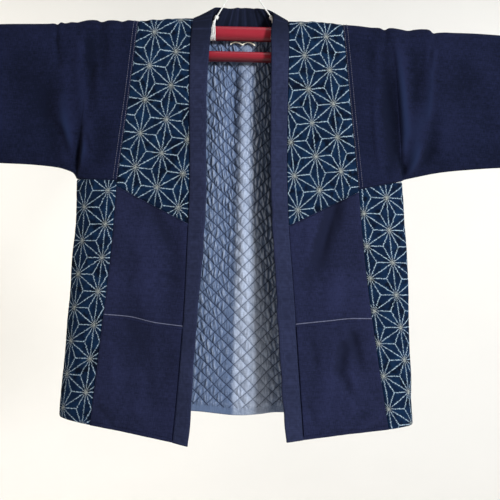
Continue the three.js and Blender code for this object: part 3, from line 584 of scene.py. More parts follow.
def make_mesh(name, vertices, faces, slots=None, maps=None):
    """A smooth mesh from vertices in millimetres. faces is a list of index arrays, slots their material
    slots, and maps holds, by UV map's name, a place for each vertex."""
    mesh = bpy.data.meshes.new(name)
    rows = [row for block in faces for row in block.tolist()]
    mesh.from_pydata((vertices.reshape(-1, 3) * MM).tolist(), [], rows)
    if slots is not None:
        mesh.polygons.foreach_set("material_index", slots.astype(np.int32))
    mesh.polygons.foreach_set("use_smooth", np.ones(len(rows), dtype=bool))
    corners = np.zeros(len(mesh.loops), dtype=np.int32)
    mesh.loops.foreach_get("vertex_index", corners)
    for map_name, places in (maps or {}).items():
        layer = mesh.uv_layers.new(name=map_name)
        layer.data.foreach_set("uv", places.reshape(-1, 2)[corners].astype(np.float32).ravel())
    mesh.validate()
    mesh.update()
    return mesh


def grid_quads(rows, columns, start=0, closed=False):
    """Quads of a grid of vertices, joined round across its columns if closed."""
    j, i = np.meshgrid(np.arange(rows - 1), np.arange(columns if closed else columns - 1), indexing="ij")
    beside = (i + 1) % columns
    corners = [j * columns + i, j * columns + beside, (j + 1) * columns + beside, (j + 1) * columns + i]
    return np.stack(corners, -1).reshape(-1, 4) + start


def rim_ring(rows, columns, start=0):
    """The vertices along the four edges of a grid, once round."""
    top = np.arange(columns)
    right = np.arange(1, rows) * columns + columns - 1
    bottom = (rows - 1) * columns + np.arange(columns - 2, -1, -1)
    left = np.arange(rows - 2, 0, -1) * columns
    return np.concatenate([top, right, bottom, left]) + start


def shell_mesh(name, outer, inner, cloth, patterns, proud, coarse=1):
    """A closed wall between two grids of points: the outer face, the inner face on every coarse-th line,
    and a rim along the four edges. cloth is each point's place in the flat cloth, in millimetres, patterns
    holds the outer and the inner face's pattern places, and proud how far folds lift a point, in
    millimetres."""
    rows, columns = outer.shape[:2]
    lining = inner[::coarse, ::coarse]
    start = rows * columns
    fine = grid_quads(rows, columns)
    back = grid_quads(*lining.shape[:2], start)[:, ::-1]
    ring = rim_ring(rows, columns)
    inner_ring = rim_ring(*lining.shape[:2], start)
    first = np.arange(len(inner_ring))
    outer_side = [ring[(first * coarse + k) % len(ring)] for k in range(coarse, -1, -1)]
    rim = np.stack([*outer_side, inner_ring, np.roll(inner_ring, -1)], -1)
    faces = [fine, back, rim]
    into = (inner - outer)[:-1, :-1]
    facing = np.cross(outer[:-1, 1:] - outer[:-1, :-1], outer[1:, :-1] - outer[:-1, :-1])
    if (facing * into).sum() > 0:
        faces = [block[:, ::-1] for block in faces]
    slots = np.repeat([0, 1, 2], [len(block) for block in faces])
    vertices = np.concatenate([outer.reshape(-1, 3), lining.reshape(-1, 3)])
    flat = [cloth.reshape(-1, 2) * MM, cloth[::coarse, ::coarse].reshape(-1, 2) * MM]
    pattern = [patterns[0].reshape(-1, 2), patterns[1][::coarse, ::coarse].reshape(-1, 2)]
    lifted = np.stack([proud, 0 * proud], -1) / PROUD_UNIT
    lifts = [lifted.reshape(-1, 2), lifted[::coarse, ::coarse].reshape(-1, 2)]
    maps = {"cloth": np.concatenate(flat), "pattern": np.concatenate(pattern), "proud": np.concatenate(lifts)}
    return make_mesh(name, vertices, faces, slots, maps)


def outward(vertices, faces):
    """The faces, turned round if the closed mesh they make has a negative volume."""
    volume = 0
    for block in faces:
        for k in range(1, block.shape[1] - 1):
            a, b, c = (vertices[block[:, n]] for n in (0, k, k + 1))
            volume += (a * np.cross(b, c)).sum()
    return faces if volume > 0 else [block[:, ::-1] for block in faces]


def lofted(rings, closed=False):
    """Vertices and faces of a body through closed rings of points, ended by flat caps or joined end to
    end."""
    count, sides = rings.shape[:2]
    vertices = rings.reshape(-1, 3)
    if closed:
        faces = [grid_quads(count + 1, sides, closed=True) % (count * sides)]
    else:
        caps = np.arange(sides)
        faces = [grid_quads(count, sides, closed=True), np.stack([caps[::-1], caps + (count - 1) * sides])]
    return vertices, outward(vertices, faces)


def rings_round(path, aside, over, radius, sides):
    """Circles round a path's stations, each in the plane of two unit directions. radius is one number, one
    for each station, or one for each station and side."""
    angle = circle(sides)[None, :, None]
    spread = np.cos(angle) * aside[:, None] + np.sin(angle) * over[:, None]
    radius = np.asarray(radius, dtype=float)
    if radius.ndim < 2:
        radius = np.broadcast_to(radius.reshape(-1, 1), (len(path), sides))
    return path[:, None] + spread * radius[..., None]


def tube_rings(path, radius, sides, normal):
    """Rings round a path that lies in a plane with this normal."""
    along = unit(np.gradient(path, axis=0))
    aside = unit(np.broadcast_to(np.asarray(normal, dtype=float), path.shape))
    return rings_round(path, aside, unit(np.cross(along, aside)), radius, sides)


def coil_rings(path, radius, sides):
    """Rings round a path that coils about the Z axis: each ring's plane holds the way out from that axis."""
    along = unit(np.gradient(path, axis=0))
    out = unit(path * [1, 1, 0])
    out = unit(out - along * (out * along).sum(-1, keepdims=True))
    return rings_round(path, out, np.cross(along, out), radius, sides)


def leaned(grid, angle):
    """Points turned about the Y axis."""
    x, y, z = grid[..., 0], grid[..., 1], grid[..., 2]
    return points(x * np.cos(angle) + z * np.sin(angle), y, z * np.cos(angle) - x * np.sin(angle))


def resampled(path, step):
    """A path's points at even distances."""
    distance = lengths(path, 0)
    at = np.linspace(0, distance[-1], max(2, int(round(distance[-1] / step)) + 1))
    return along_path(path, distance, at)


def smooth_path(route, step, closed=False):
    """A smooth curve through a route's points: a cubic between each pair, its slope at a point that between
    the point's neighbours by distance, then even steps along it."""
    if closed:
        route = np.concatenate([route[-2:], route, route[:3]])
    distance = lengths(route, 0)
    first, last = (distance[2], distance[-3]) if closed else (0, distance[-1])
    fine = np.append(np.arange(first, last, step / 4), last)
    even = resampled(along_curve(route, distance, fine), step)
    return even[:-1] if closed else even


def stitch_rows(path, normals, pitch, share, radius, lift=0.12):
    """A body of stitches along a path on cloth: each a four-sided thread that rises from the cloth and goes
    back into it, share of its pitch long."""
    distance = lengths(path, 0)
    count = int(distance[-1] / pitch)
    shares = np.array([0, 0.22, 0.78, 1])
    heights = np.array([-0.6, 1, 1, -0.6]) * radius + lift
    at = (np.arange(count)[:, None] + (1 - share) / 2 + share * shares) * pitch
    centre = along_path(path, distance, at)
    up = unit(along_path(normals, distance, at))
    along = unit(centre[:, -1:] - centre[:, :1])
    aside = unit(np.cross(np.broadcast_to(along, up.shape), up))
    centre = centre + up * heights[:, None]
    angle = circle(4, 0.5)[:, None]
    rings = centre[:, :, None] + radius * (np.cos(angle) * aside[:, :, None] + np.sin(angle) * up[:, :, None])
    vertices = rings.reshape(-1, 3)
    one = np.concatenate([grid_quads(4, 4, closed=True), [[3, 2, 1, 0], [12, 13, 14, 15]]])
    faces = (one[None] + 16 * np.arange(count)[:, None, None]).reshape(-1, 4)
    return vertices, outward(vertices, [faces])


def joined_mesh(name, bodies):
    """One mesh from several closed bodies, each its vertices and blocks of faces."""
    vertices = np.concatenate([body[0] for body in bodies])
    starts = np.cumsum([0] + [len(body[0]) for body in bodies])
    blocks = [block + start for body, start in zip(bodies, starts) for block in body[1]]
    widths = sorted({block.shape[1] for block in blocks})
    faces = [np.concatenate([block for block in blocks if block.shape[1] == width]) for width in widths]
    return make_mesh(name, vertices, faces)


# ---- The garment's surfaces: outer points, the way into the cloth, and the place in the flat cloth ----


def surface(at, into, cloth, proud=0.0):
    """A grid of outer points, with the way into the cloth and the place in the flat cloth of each. proud is
    how far folds lift it, in millimetres: what stands proud is drawn paler, partly fading, partly painted
    light."""
    return SimpleNamespace(at=at, into=into, cloth=cloth, proud=np.broadcast_to(proud, at.shape[:-1]))


def stacked(*parts):
    """Surfaces one below the other, as one."""
    keys = ("at", "into", "cloth", "proud")
    return surface(*(np.concatenate([getattr(part, key) for part in parts]) for key in keys))


def level(side, column, z):
    """A side's distance from the middle at a height, by one column of its levels."""
    return through(side.levels, "z", column, z)


def depth(column, z):
    """How far the cloth stands from the bar's plane at a height."""
    return through(DEPTHS, "z", column, z)


def crest(side, x):
    """The top line's height at a distance from the middle."""
    return through(side.crest, "x", "z", np.abs(x))


def over_bar(side, across_x, turn, radius, facing):
    """On the roll over the bar, a quarter circle: turn is 0 at the crest and 90 degrees where the cloth
    starts to hang, and across_x gives the distance from the middle at a height."""
    angle = np.radians(turn)
    fall = radius * (1 - np.cos(angle))
    x = across_x(crest(side, across_x(SHOULDER_Z)) - fall)
    z = crest(side, x) - fall
    at = points(side.sign * x, facing * radius * np.sin(angle), z)
    into = points(0 * x, -facing * np.sin(angle), -np.cos(angle))
    height = crest(side, x) - radius + radius * (np.pi / 2 - angle)
    return surface(at, into, np.stack(np.broadcast_arrays(x, height), -1))


def front_x(side, across, z):
    """The front's distance from the middle: from the collar's seam, across 0, to the side's, across 1."""
    return mix(level(side, "collar", z) - COLLAR_TUCK, level(side, "side", z) - SEAM / 2, across)


def front_slack(side, across, x, z):
    """The front's folds and soft unevenness, none of them at its two long seams."""
    inside = np.sin(np.pi * np.clip(across, 0, 1)) ** 0.6
    soft = 0.7 * ripple(x, z, 10 + side.seed, 62, 1.9) + 0.4 * ripple(x, z, 30 + side.seed, 20, 1.7)
    return inside * ease(-z, 96, 150) * (fold_rise(side.front_folds, x, z) + soft)


def hanging_front(side, across, z, out=0.0):
    """The hanging front: a blend of the depths at collar and side, across 0 at the collar and 1 at the
    side."""
    x = front_x(side, across, z)
    blend = across + 0.12 * np.sin(np.pi * across)
    slack = front_slack(side, across, x, z)
    y = -mix(depth("collar", z), depth("side", z), blend) - slack - out
    into = np.broadcast_to([0.0, 1.0, 0.0], (*np.shape(y), 3))
    return surface(points(side.sign * x, y, z), into, np.stack(np.broadcast_arrays(x, z), -1), slack)


def yoke_end(side, across):
    """The diagonal seam's height, a straight line from collar to side."""
    return mix(*side.yoke_end, across)


def front_hem(side, across):
    """The front hem's height, a straight line from collar to side."""
    return mix(side.hem_collar, side.hem_side, across)


def pocket_top(side, across):
    """The height of the pocket's mouth, a smooth curve from collar to side."""
    return through(side.pocket_top, "across", "z", across)


ACROSS_FRONT = stations(130)[None]  # the columns of a front's grid, from collar to side
POCKET_HEIGHT = 212


def yoke_surface(side):
    """The yoke from the crest, over the bar and down to the diagonal seam, with a few soft gathers on the
    bar."""
    across = ACROSS_FRONT
    turn = np.linspace(0.6, 90, 10)[:-1, None]
    rolled = over_bar(side, lambda z: front_x(side, across, z), turn, FRONT_ROLL, -1)
    top = crest(side, front_x(side, across, SHOULDER_Z)) - FRONT_ROLL
    share = stations(330)[3:, None]
    share = (share - share[0]) / (1 - share[0])
    whole = stacked(rolled, hanging_front(side, across, mix(top, yoke_end(side, across), share)))
    below = SHOULDER_Z - whole.cloth[..., 1]
    bunched = np.sin(np.pi * across) ** 0.5 * (0.9 + ripple(across * 130, 0, 20 + side.seed, 26))
    whole.at = whole.at - whole.into * (0.8 * bunched * np.exp(-((below / 26) ** 2)))[..., None]
    return whole


def front_surface(side):
    """The plain front from the diagonal seam to the hem."""
    top, hem = yoke_end(side, ACROSS_FRONT) - SEAM, front_hem(side, ACROSS_FRONT)
    return hanging_front(side, ACROSS_FRONT, mix(top, hem, stations(430)[:, None]))


def pocket_surface(side):
    """A patch a seam's gap before the front, standing off a little more in the middle of its mouth, and
    gathered a little below it."""
    across = ACROSS_FRONT
    share = stations(POCKET_HEIGHT)[:, None]
    z = mix(pocket_top(side, across), front_hem(side, across), share)
    below = share * POCKET_HEIGHT
    inside = np.sin(np.pi * across)
    gape = 1.3 * inside * np.exp(-((below / 14) ** 2))
    gathers = 0.35 * inside**0.5 * (1 + ripple(across * 140, z, 27, 7, 6)) * np.exp(-((below / 30) ** 2))
    return hanging_front(side, across, z, SEAM + POCKET_CLOTH + gape + gathers)


def panel_surface(side):
    """Half an ellipse round the side, from the front seam to the back seam."""
    turn = np.pi * stations(200)[None]
    front = turn <= np.pi / 2
    out = np.sin(turn)
    top = mix(*side.panel_top, out) - SEAM
    back_hem = through(BACK_HEM, "x", "z", side.sign * 260)
    hem = mix(np.where(front, side.hem_side, back_hem), side.hem_edge, out)
    z = mix(top, hem, stations(455)[:, None])
    seam_x = level(side, "side", z) + SEAM / 2
    wide = level(side, "edge", z) - seam_x
    deep = np.where(front, depth("side", z), depth("back_side", z))
    plain = points(side.sign * (seam_x + wide * out), -deep * np.cos(turn), z)
    into = -unit(points(side.sign * out / wide, -np.cos(turn) / deep, 0 * z))
    around = lengths(plain, 1)
    soft = 0.8 * ripple(around, z, 30 + side.seed, 48, 2.4)
    fine = 0.14 * ripple(around, z, 50 + side.seed, 15, 1.4)
    slack = np.sin(turn) ** 0.7 * (soft + fine)
    return surface(plain - into * slack[..., None], into, np.stack([around, z], -1))


def sleeve_columns(side):
    """Shares of the way out along a sleeve, and the share where its lower edge leaves the side panel."""
    bottom_edge = level(side, "edge", side.panel_top[1])
    bottom_seam = level(side, "side", side.panel_top[0]) + SEAM / 2
    length = CUFF_X - bottom_seam
    underarm = (bottom_edge - bottom_seam) / length
    near = underarm * np.sin(np.linspace(0, np.pi / 2, 41))
    near = np.concatenate([[0], np.array(EDGE_LINES[:2]) / length, near[1:]])
    far = underarm + (1 - underarm) * stations(length * (1 - underarm), 2.6)
    return np.concatenate([near, far[1:]]), underarm


def sleeve_surface(side):
    """A flat tube from the front's lower edge over the crest to the back's: half its thickness is
    SLEEVE_HALF_THICK times the root of one less the fifth power of the share of the way down."""
    out, underarm = sleeve_columns(side)
    out = out[None]
    inside = out <= underarm + 1e-9
    bottom_seam = level(side, "side", side.panel_top[0]) + SEAM / 2
    bottom_x = mix(bottom_seam, CUFF_X, out)
    panel = mix(*side.panel_top, out / underarm)
    bottom_z = np.where(inside, panel, through(side.underarm, "x", "z", bottom_x))

    def across_x(z):
        """The distance from the middle: from the armhole's seam, out 0, to the cuff, out 1."""
        return mix(level(side, "side", z) + SEAM / 2, CUFF_X, out)

    def hanging(down, facing):
        """The cloth below the roll on the front (-1) or the back (1), by the share of the way down: a
        closed tube with folds, blended to the open end at the side panel, and kept clear of the bar and the
        rail."""
        radius = FRONT_ROLL if facing < 0 else BACK_ROLL
        z = mix(crest(side, across_x(SHOULDER_Z)) - radius, bottom_z, down)
        x = across_x(z)
        opening = np.sqrt(np.maximum(0, 1 - (out / underarm) ** 2)) * inside
        slim = mix(1, mix(1, 0.86, out), ease(down, 0, 0.2))
        backward = 3 * (1 - down) if facing > 0 else 0 * down
        full = mix(FRONT_ROLL, SLEEVE_HALF_THICK, ease(down, 0, 0.34))
        shut = full * slim * np.sqrt(np.maximum(0, 1 - down**5)) + backward + 0.15
        seam_depth = depth("side" if facing < 0 else "back_side", z)
        near = through(SLEEVE_SECTION, "down", "open", down) + backward
        opened = mix(near, seam_depth, 1 - ease(out, 0, underarm))
        fading = mix(0.86, 0.95, ease(out, underarm * 0.92, underarm * 1.1))
        fade = ease(out, 0, underarm * 0.8) * (1 - ease(down, fading, 1))
        seed = 40 + side.seed + (facing > 0) * 2
        soft = 0.9 * ripple(x, z, seed, 70, 1.8) + 0.2 * ripple(x, z, seed + 20, 16, 1.4)
        folds = fold_rise(side.sleeve_folds, x, z) * (1 if facing < 0 else 0.8)
        proud = fade * ease(down, 0, 0.12) * (folds + soft)
        y = mix(shut, opened, opening) + proud
        rail = 1 - ease(x, RAIL_HALF_LENGTH + 2, RAIL_HALF_LENGTH + 20)
        below = mix(BELOW_BAR, BELOW_RAIL, rail)
        y = above(y, mix(mix(OVER_BAR, OVER_RAIL, rail), 4.0, ease(-z, below, below + 34)))
        angle = np.radians(mix(through(SLEEVE_SECTION, "down", "turn", down), 90, opening))
        into = points(0 * x, -facing * np.sin(angle), -np.cos(angle))
        return surface(points(side.sign * x, facing * y, z), into, np.stack([x, z], -1), proud)

    rounding = 0.9 + 0.1 * np.sin(np.linspace(0, np.pi / 2, 16))
    down = np.concatenate([np.linspace(0, 0.9, 88)[1:], rounding[1:]])[:, None]
    turn = np.linspace(90, 0, 12)[:, None]
    front = hanging(down[::-1], -1)
    rolled_front = over_bar(side, across_x, turn, FRONT_ROLL, -1)
    rolled_back = over_bar(side, across_x, turn[::-1][1:], BACK_ROLL, 1)
    whole = stacked(front, rolled_front, rolled_back, hanging(down, 1))
    around = lengths(whole.at, 0)
    crest_row = len(down) + len(turn) - 1
    height = around - around[crest_row : crest_row + 1]
    whole.cloth = np.stack([whole.cloth[..., 0], height], -1)
    bunched = through(side.bunches, "x", "rise", np.abs(whole.at[..., 0])) * np.exp(-((height / 42) ** 2))
    whole.at = whole.at - whole.into * bunched[..., None]
    return whole


def back_y(x, z):
    """The back's outer face: the depth in the middle blended to that at the side by the square of the share
    of the way there, with its folds fading to the side seams."""
    seam = np.where(x < 0, level(LEFT, "side", z), level(RIGHT, "side", z))
    share = np.clip(np.abs(x) / seam, 0, 1)
    base = mix(depth("back", z), depth("back_side", z), share**2)
    soft = 0.8 * ripple(x, z, 51, 75, 2.2) + 0.15 * ripple(x, z, 71, 16, 1.4)
    return base + (1 - share**4) * ease(-z, 140, 200) * (fold_rise(BACK_FOLDS, x, z) + soft)


def back_surface():
    """The back from the crest, or the back neckline, to the hem."""
    across = 2 * stations(450)[None] - 1

    def half(side, share):
        """One side's cloth on the roll, from the neckline's arc or the crest."""

        def across_x(z):
            """The distance from the middle at this share of the way to the side seam."""
            return np.abs(share) * (level(side, "side", z) - SEAM)

        neck = np.sqrt(np.maximum(0, 1 - (across_x(SHOULDER_Z) / NECK_X) ** 2)) * NECK_DROP
        start = np.maximum(0.5, neck)
        turn = mix(start, 90, np.linspace(0, 1, 13)[:-1, None])
        return over_bar(side, across_x, turn, BACK_ROLL, 1)

    def either(left, right):
        """The left side's where the cloth is left of the middle."""
        return np.where(across < 0, left, right)

    def back_x(z):
        """The place across, the seam's gap short of the side seam."""
        return across * either(level(LEFT, "side", z), level(RIGHT, "side", z)) - np.sign(across) * SEAM

    left, right = half(LEFT, across), half(RIGHT, across)
    left.cloth = left.cloth * [-1, 1]
    pairs = ((left.at, right.at), (left.into, right.into), (left.cloth, right.cloth))
    rolled = surface(*(np.where(across[..., None] < 0, *pair) for pair in pairs))
    top = either(crest(LEFT, back_x(SHOULDER_Z)), crest(RIGHT, back_x(SHOULDER_Z))) - BACK_ROLL
    z = mix(top, through(BACK_HEM, "x", "z", back_x(-836)), stations(740)[:, None])
    x = back_x(z)
    into = np.broadcast_to([0.0, -1.0, 0.0], (*x.shape, 3))
    at = points(x, back_y(x, z), z)
    proud = fold_rise(BACK_FOLDS, x, z) * ease(-z, 140, 200)
    return stacked(rolled, surface(at, into, np.stack([x, z], -1), proud))


# ---- Quilting and the hemp-leaf cloth's lattice ----


def quilt_places(x, z, seed):
    """Places in the quilting's own lattice, a diamond to a unit, a little uneven as hand-guided rows are."""
    waver_x = x + 0.7 * ripple(x, z, seed, 60)
    waver_z = z + 0.7 * ripple(x, z, seed + 1, 60)
    return np.stack([waver_x + waver_z, waver_x - waver_z], -1) / (2 * QUILT_STEP)


def quilt_puff(places, seed):
    """The padding's height between the quilting rows, 0 on a row and 1 in a diamond's middle: the root of
    the product of the two sines, with small creases that the rows' pull leaves across it."""
    product = np.abs(np.sin(np.pi * places[..., 0]) * np.sin(np.pi * places[..., 1]))
    x, z = places.sum(-1) * QUILT_STEP, (places[..., 0] - places[..., 1]) * QUILT_STEP
    pull = 0.16 * ripple(x, z, seed, 6.5, 4.0) + 0.12 * ripple(x, z, seed + 1, 22)
    return np.sqrt(product) * (1 + pull * (0.4 + 0.6 * np.sqrt(product)))


WRINKLE_SHIFT = 9  # the most that a diamond's wrinkles are moved across
WRINKLE_LEAN = 0.5  # and how steeply they lean


def quilt_wrinkles(places, x, z, seed):
    """Upright wrinkles inside the diamonds, about -1 to 1, none on the quilting rows: unevenness stretched
    upwards, its crests narrowed. Each diamond's are shifted and leant on their own, as the rows cut them
    off. They are strong beside the lining's middle fold and faint on it."""
    away = (x - through(LINING_FLANK, "z", "x", z)) / through(LINING_FLANK, "z", "half", z)
    smooth = np.exp(-(away**4))
    product = np.abs(np.sin(np.pi * places[..., 0]) * np.sin(np.pi * places[..., 1]))
    cell = np.floor(places)
    chance = np.sin(cell[..., 0] * 12.9 + cell[..., 1] * 78.2) * 43.7
    chance = chance - np.floor(chance)
    x = x + WRINKLE_SHIFT * chance + WRINKLE_LEAN * (chance - 0.35) * z
    uneven = ripple(x, z, seed, 7, 3.4, spread=0.5) + 0.6 * ripple(x, z, seed + 1, 4.2, 2.6, spread=0.8)
    strong = (1 - 0.85 * smooth) * mix(1, 0.75, ease(-z, 620, 780)) * mix(1, 1.5, ease(away, 1, 2))
    return product**0.3 * np.tanh(1.6 * uneven) * strong


def lattice_places(hemp, x, z):
    """Places in the hemp-leaf lattice: units of the stars' distance, scaled across so that its triangles are
    regular there, the lattice leaning with the cloth's grain."""
    lean = np.radians(hemp.lean)
    x, z = x - hemp.x, z - hemp.z
    along = -z * np.cos(lean) + x * np.sin(lean)
    across = x * np.cos(lean) + z * np.sin(lean)
    return np.stack([across / hemp.across * np.sqrt(0.75), along / hemp.along], -1)


# ---- Collar ----


def collar_stations():
    """Seam and free edge of the collar, up the left front, round the neck and down the right front."""
    seams, frees = [], []
    neck = [np.stack([NECK[f"{edge}_{axis}"] for axis in "xyz"], -1) for edge in ("seam", "free")]
    for side in SIDES:
        top = crest(side, level(side, "collar", SHOULDER_Z)) - FRONT_ROLL
        z = np.linspace(side.hem_collar, top - 6, 90)
        y = -depth("collar", z)
        free_z = z + (side.hem_free - side.hem_collar) * (1 - ease(z, side.hem_collar, side.hem_collar + 40))
        seam = points(side.sign * (level(side, "collar", z) - SEAM / 2), y, z)
        free = points(side.sign * level(side, "free", free_z), y - COLLAR_TILT, free_z)
        turn = slice(None) if side is LEFT else slice(None, None, -1)
        seams += [seam[turn]] + ([neck[0][1:-1]] if side is LEFT else [])
        frees += [free[turn]] + ([neck[1][1:-1]] if side is LEFT else [])
    seam, free = np.concatenate(seams), np.concatenate(frees)
    distance = lengths((seam + free) / 2, 0)
    even = np.linspace(0, distance[-1], int(distance[-1] / GRID))
    return along_curve(seam, distance, even), along_curve(free, distance, even), even


COLLAR_MIDDLE = -1.1  # the band's middle, before or behind the cloth's outer face at its seam
COLLAR_HALF = 3.0
COLLAR_TILT = 5.5  # how much further forward its free edge stands
COLLAR_SIDES = 36
COLLAR_WIDE = 40  # its width, flat
COLLAR_NECK = 58  # how far from the middle of the neck it is puckered
COLLAR_SQUARE = 0.42  # the power that makes its section square


def collar_rings():
    """A padded band's section, a rounded rectangle, carried along the collar's stations: the powers of sine
    and cosine set how square it is."""
    seam, free, along = collar_stations()
    angle = circle(COLLAR_SIDES, 0.5)
    over = 0.5 - 0.5 * signed_power(np.cos(angle), COLLAR_SQUARE)
    out = COLLAR_MIDDLE + COLLAR_HALF * signed_power(np.sin(angle), COLLAR_SQUARE)
    band = free - seam
    outward_way = unit(np.cross(band, np.gradient(seam + free, axis=0)))
    width = np.linalg.norm(band, axis=-1, keepdims=True)
    way = along[:, None]
    neck = np.exp(-(((way - along[-1] / 2) / COLLAR_NECK) ** 4))
    slack = 0.5 * ripple(way, over * 40, 61, 46) + 0.22 * ripple(way, over * 12, 62, 13)
    slack = slack + 1.5 * neck * ripple(way, over * 16, 64, 15)
    out = out + slack * np.sin(np.pi * np.clip(over, 0, 1)) ** 0.5
    wave = 0.7 * ripple(way, 0 * over, 63, 70) + 0.8 * neck * ripple(way, 0, 65, 22)
    reach = over + wave * over**2 / width
    rings = seam[:, None] + band[:, None] * reach[..., None] + outward_way[:, None] * out[..., None]
    return rings, along


# ---- Hanger ----


BAR_STEP = 8
BAR_SQUARE = 0.94  # the power that makes its section a little square


def bar_top(x):
    """The upper bar's top line, curved down to the ends."""
    return through(BAR_TOP, "x", "z", np.abs(x))


def rail_top(x):
    """The rail's top line, level."""
    return np.full_like(x, RAIL_TOP)


def rounded_bar(top, half_height, half_depth, half_length):
    """A section between an ellipse and a rectangle, carried along the bar, its ends rounded by an
    ellipse."""
    tip = half_height * 0.9
    end = tip * (1 - np.cos(np.linspace(0, np.pi / 2, 9)))
    inner = np.linspace(-half_length + tip, half_length - tip, int(2 * half_length / BAR_STEP))
    x = np.concatenate([-half_length + end[:-1], inner, (half_length - end[:-1])[::-1]])
    size = np.sqrt(np.clip(1 - (np.maximum(np.abs(x) - half_length + tip, 0) / tip) ** 2, 0.02, 1))
    angle = circle(32, 0.5)
    z = top(x)[:, None] - half_height + size[:, None] * half_height * signed_power(np.sin(angle), BAR_SQUARE)
    return points(x[:, None], size[:, None] * half_depth * signed_power(np.cos(angle), BAR_SQUARE), z)


CORD_BEND = 7  # radius of the cord's middle line over the hook
CORD_STRANDS = 3
# Where the cord's two ends stand on the bar, and their knots.
CORD_FEET = (
    SimpleNamespace(name="left", sign=-1, seed=1, foot=-53, knot_x=-47.5, knot_z=-76),
    SimpleNamespace(name="right", sign=1, seed=2, foot=61, knot_x=56.5, knot_z=-74),
)


def cord_route():
    """The hanger cord's points: from the bar, through a knot, over the hook and down again."""
    left, right = CORD_FEET
    angle = np.radians(np.linspace(148, 38, 7))
    bend = points(CORD_BEND * np.cos(angle), 0, -CORD_BEND + CORD_RADIUS + CORD_BEND * np.sin(angle))

    def leg(foot, end):
        """From the bar up to the knot, and straight on to the bend."""
        start = [foot.foot, 0, float(bar_top(foot.foot)) + SEAM + 0.2]
        knot = np.array([foot.knot_x, 0, foot.knot_z])
        return [start, *(mix(knot, end, share / 5) for share in range(5))]

    return np.array([*leg(left, bend[0]), *bend, *leg(right, bend[-1])[::-1]])


def twisted(path, radius, pitch, normal, sides=20):
    """Rings of a twisted cord: its radius swells over each strand, and the strands turn once round in a
    pitch."""
    distance = lengths(path, 0)[:, None]
    lobe = np.abs(np.cos(CORD_STRANDS / 2 * (circle(sides) - 2 * np.pi * distance / pitch)))
    return tube_rings(path, radius * (0.84 + 0.16 * np.sqrt(lobe)), sides, normal)


def link_route(x):
    """A closed loop of cord round the bar and the rail."""
    clear = SEAM + 0.2 + LINK_RADIUS
    bar_middle = float(bar_top(x)) - BAR_HALF_HEIGHT
    upper = np.radians(np.linspace(0, 180, 9))
    lower = np.radians(np.linspace(180, 360, 9))
    wide, tall = BAR_HALF_DEPTH + 0.6 + clear, BAR_HALF_HEIGHT - 3.4 + clear
    rail = RAIL_RADIUS + 0.3 + clear
    over = points(x, wide * np.cos(upper), bar_middle + 4 + tall * np.sin(upper))
    under = points(x, rail * np.cos(lower), RAIL_TOP - RAIL_RADIUS + rail * np.sin(lower))
    return np.concatenate([over, under])


# ---- Finishes ----


class Field:
    """A number that a finish's nodes give from place to place. Arithmetic on it adds nodes."""

    def __init__(self, finish, socket):
        """A value of the shader: an output of one of the finish's nodes."""
        self.finish = finish
        self.socket = socket

    def __add__(self, other):
        """The sum of the two."""
        return self.finish.math("ADD", self, other)

    def __sub__(self, other):
        """This less the other."""
        return self.finish.math("SUBTRACT", self, other)

    def __rsub__(self, other):
        """The other less this."""
        return self.finish.math("SUBTRACT", other, self)

    def __mul__(self, other):
        """The product of the two."""
        return self.finish.math("MULTIPLY", self, other)

    def __abs__(self):
        """The value without its sign."""
        return self.finish.math("ABSOLUTE", self)

    def least(self, other):
        """The smaller of the two."""
        return self.finish.math("MINIMUM", self, other)

    def most(self, other):
        """The larger of the two."""
        return self.finish.math("MAXIMUM", self, other)

    def fraction(self):
        """What the value is above the whole number below it."""
        return self.finish.math("FRACT", self)

    def clamped(self):
        """The value, at most 1 and at least 0."""
        return self.least(1).most(0)

    def between(self, low, high):
        """0 below low and 1 above high, smooth between."""
        inputs = {"Value": self, "From Min": low, "From Max": high}
        node = self.finish.add("MapRange", {"interpolation_type": "SMOOTHSTEP"}, inputs)
        return Field(self.finish, node.outputs["Result"])


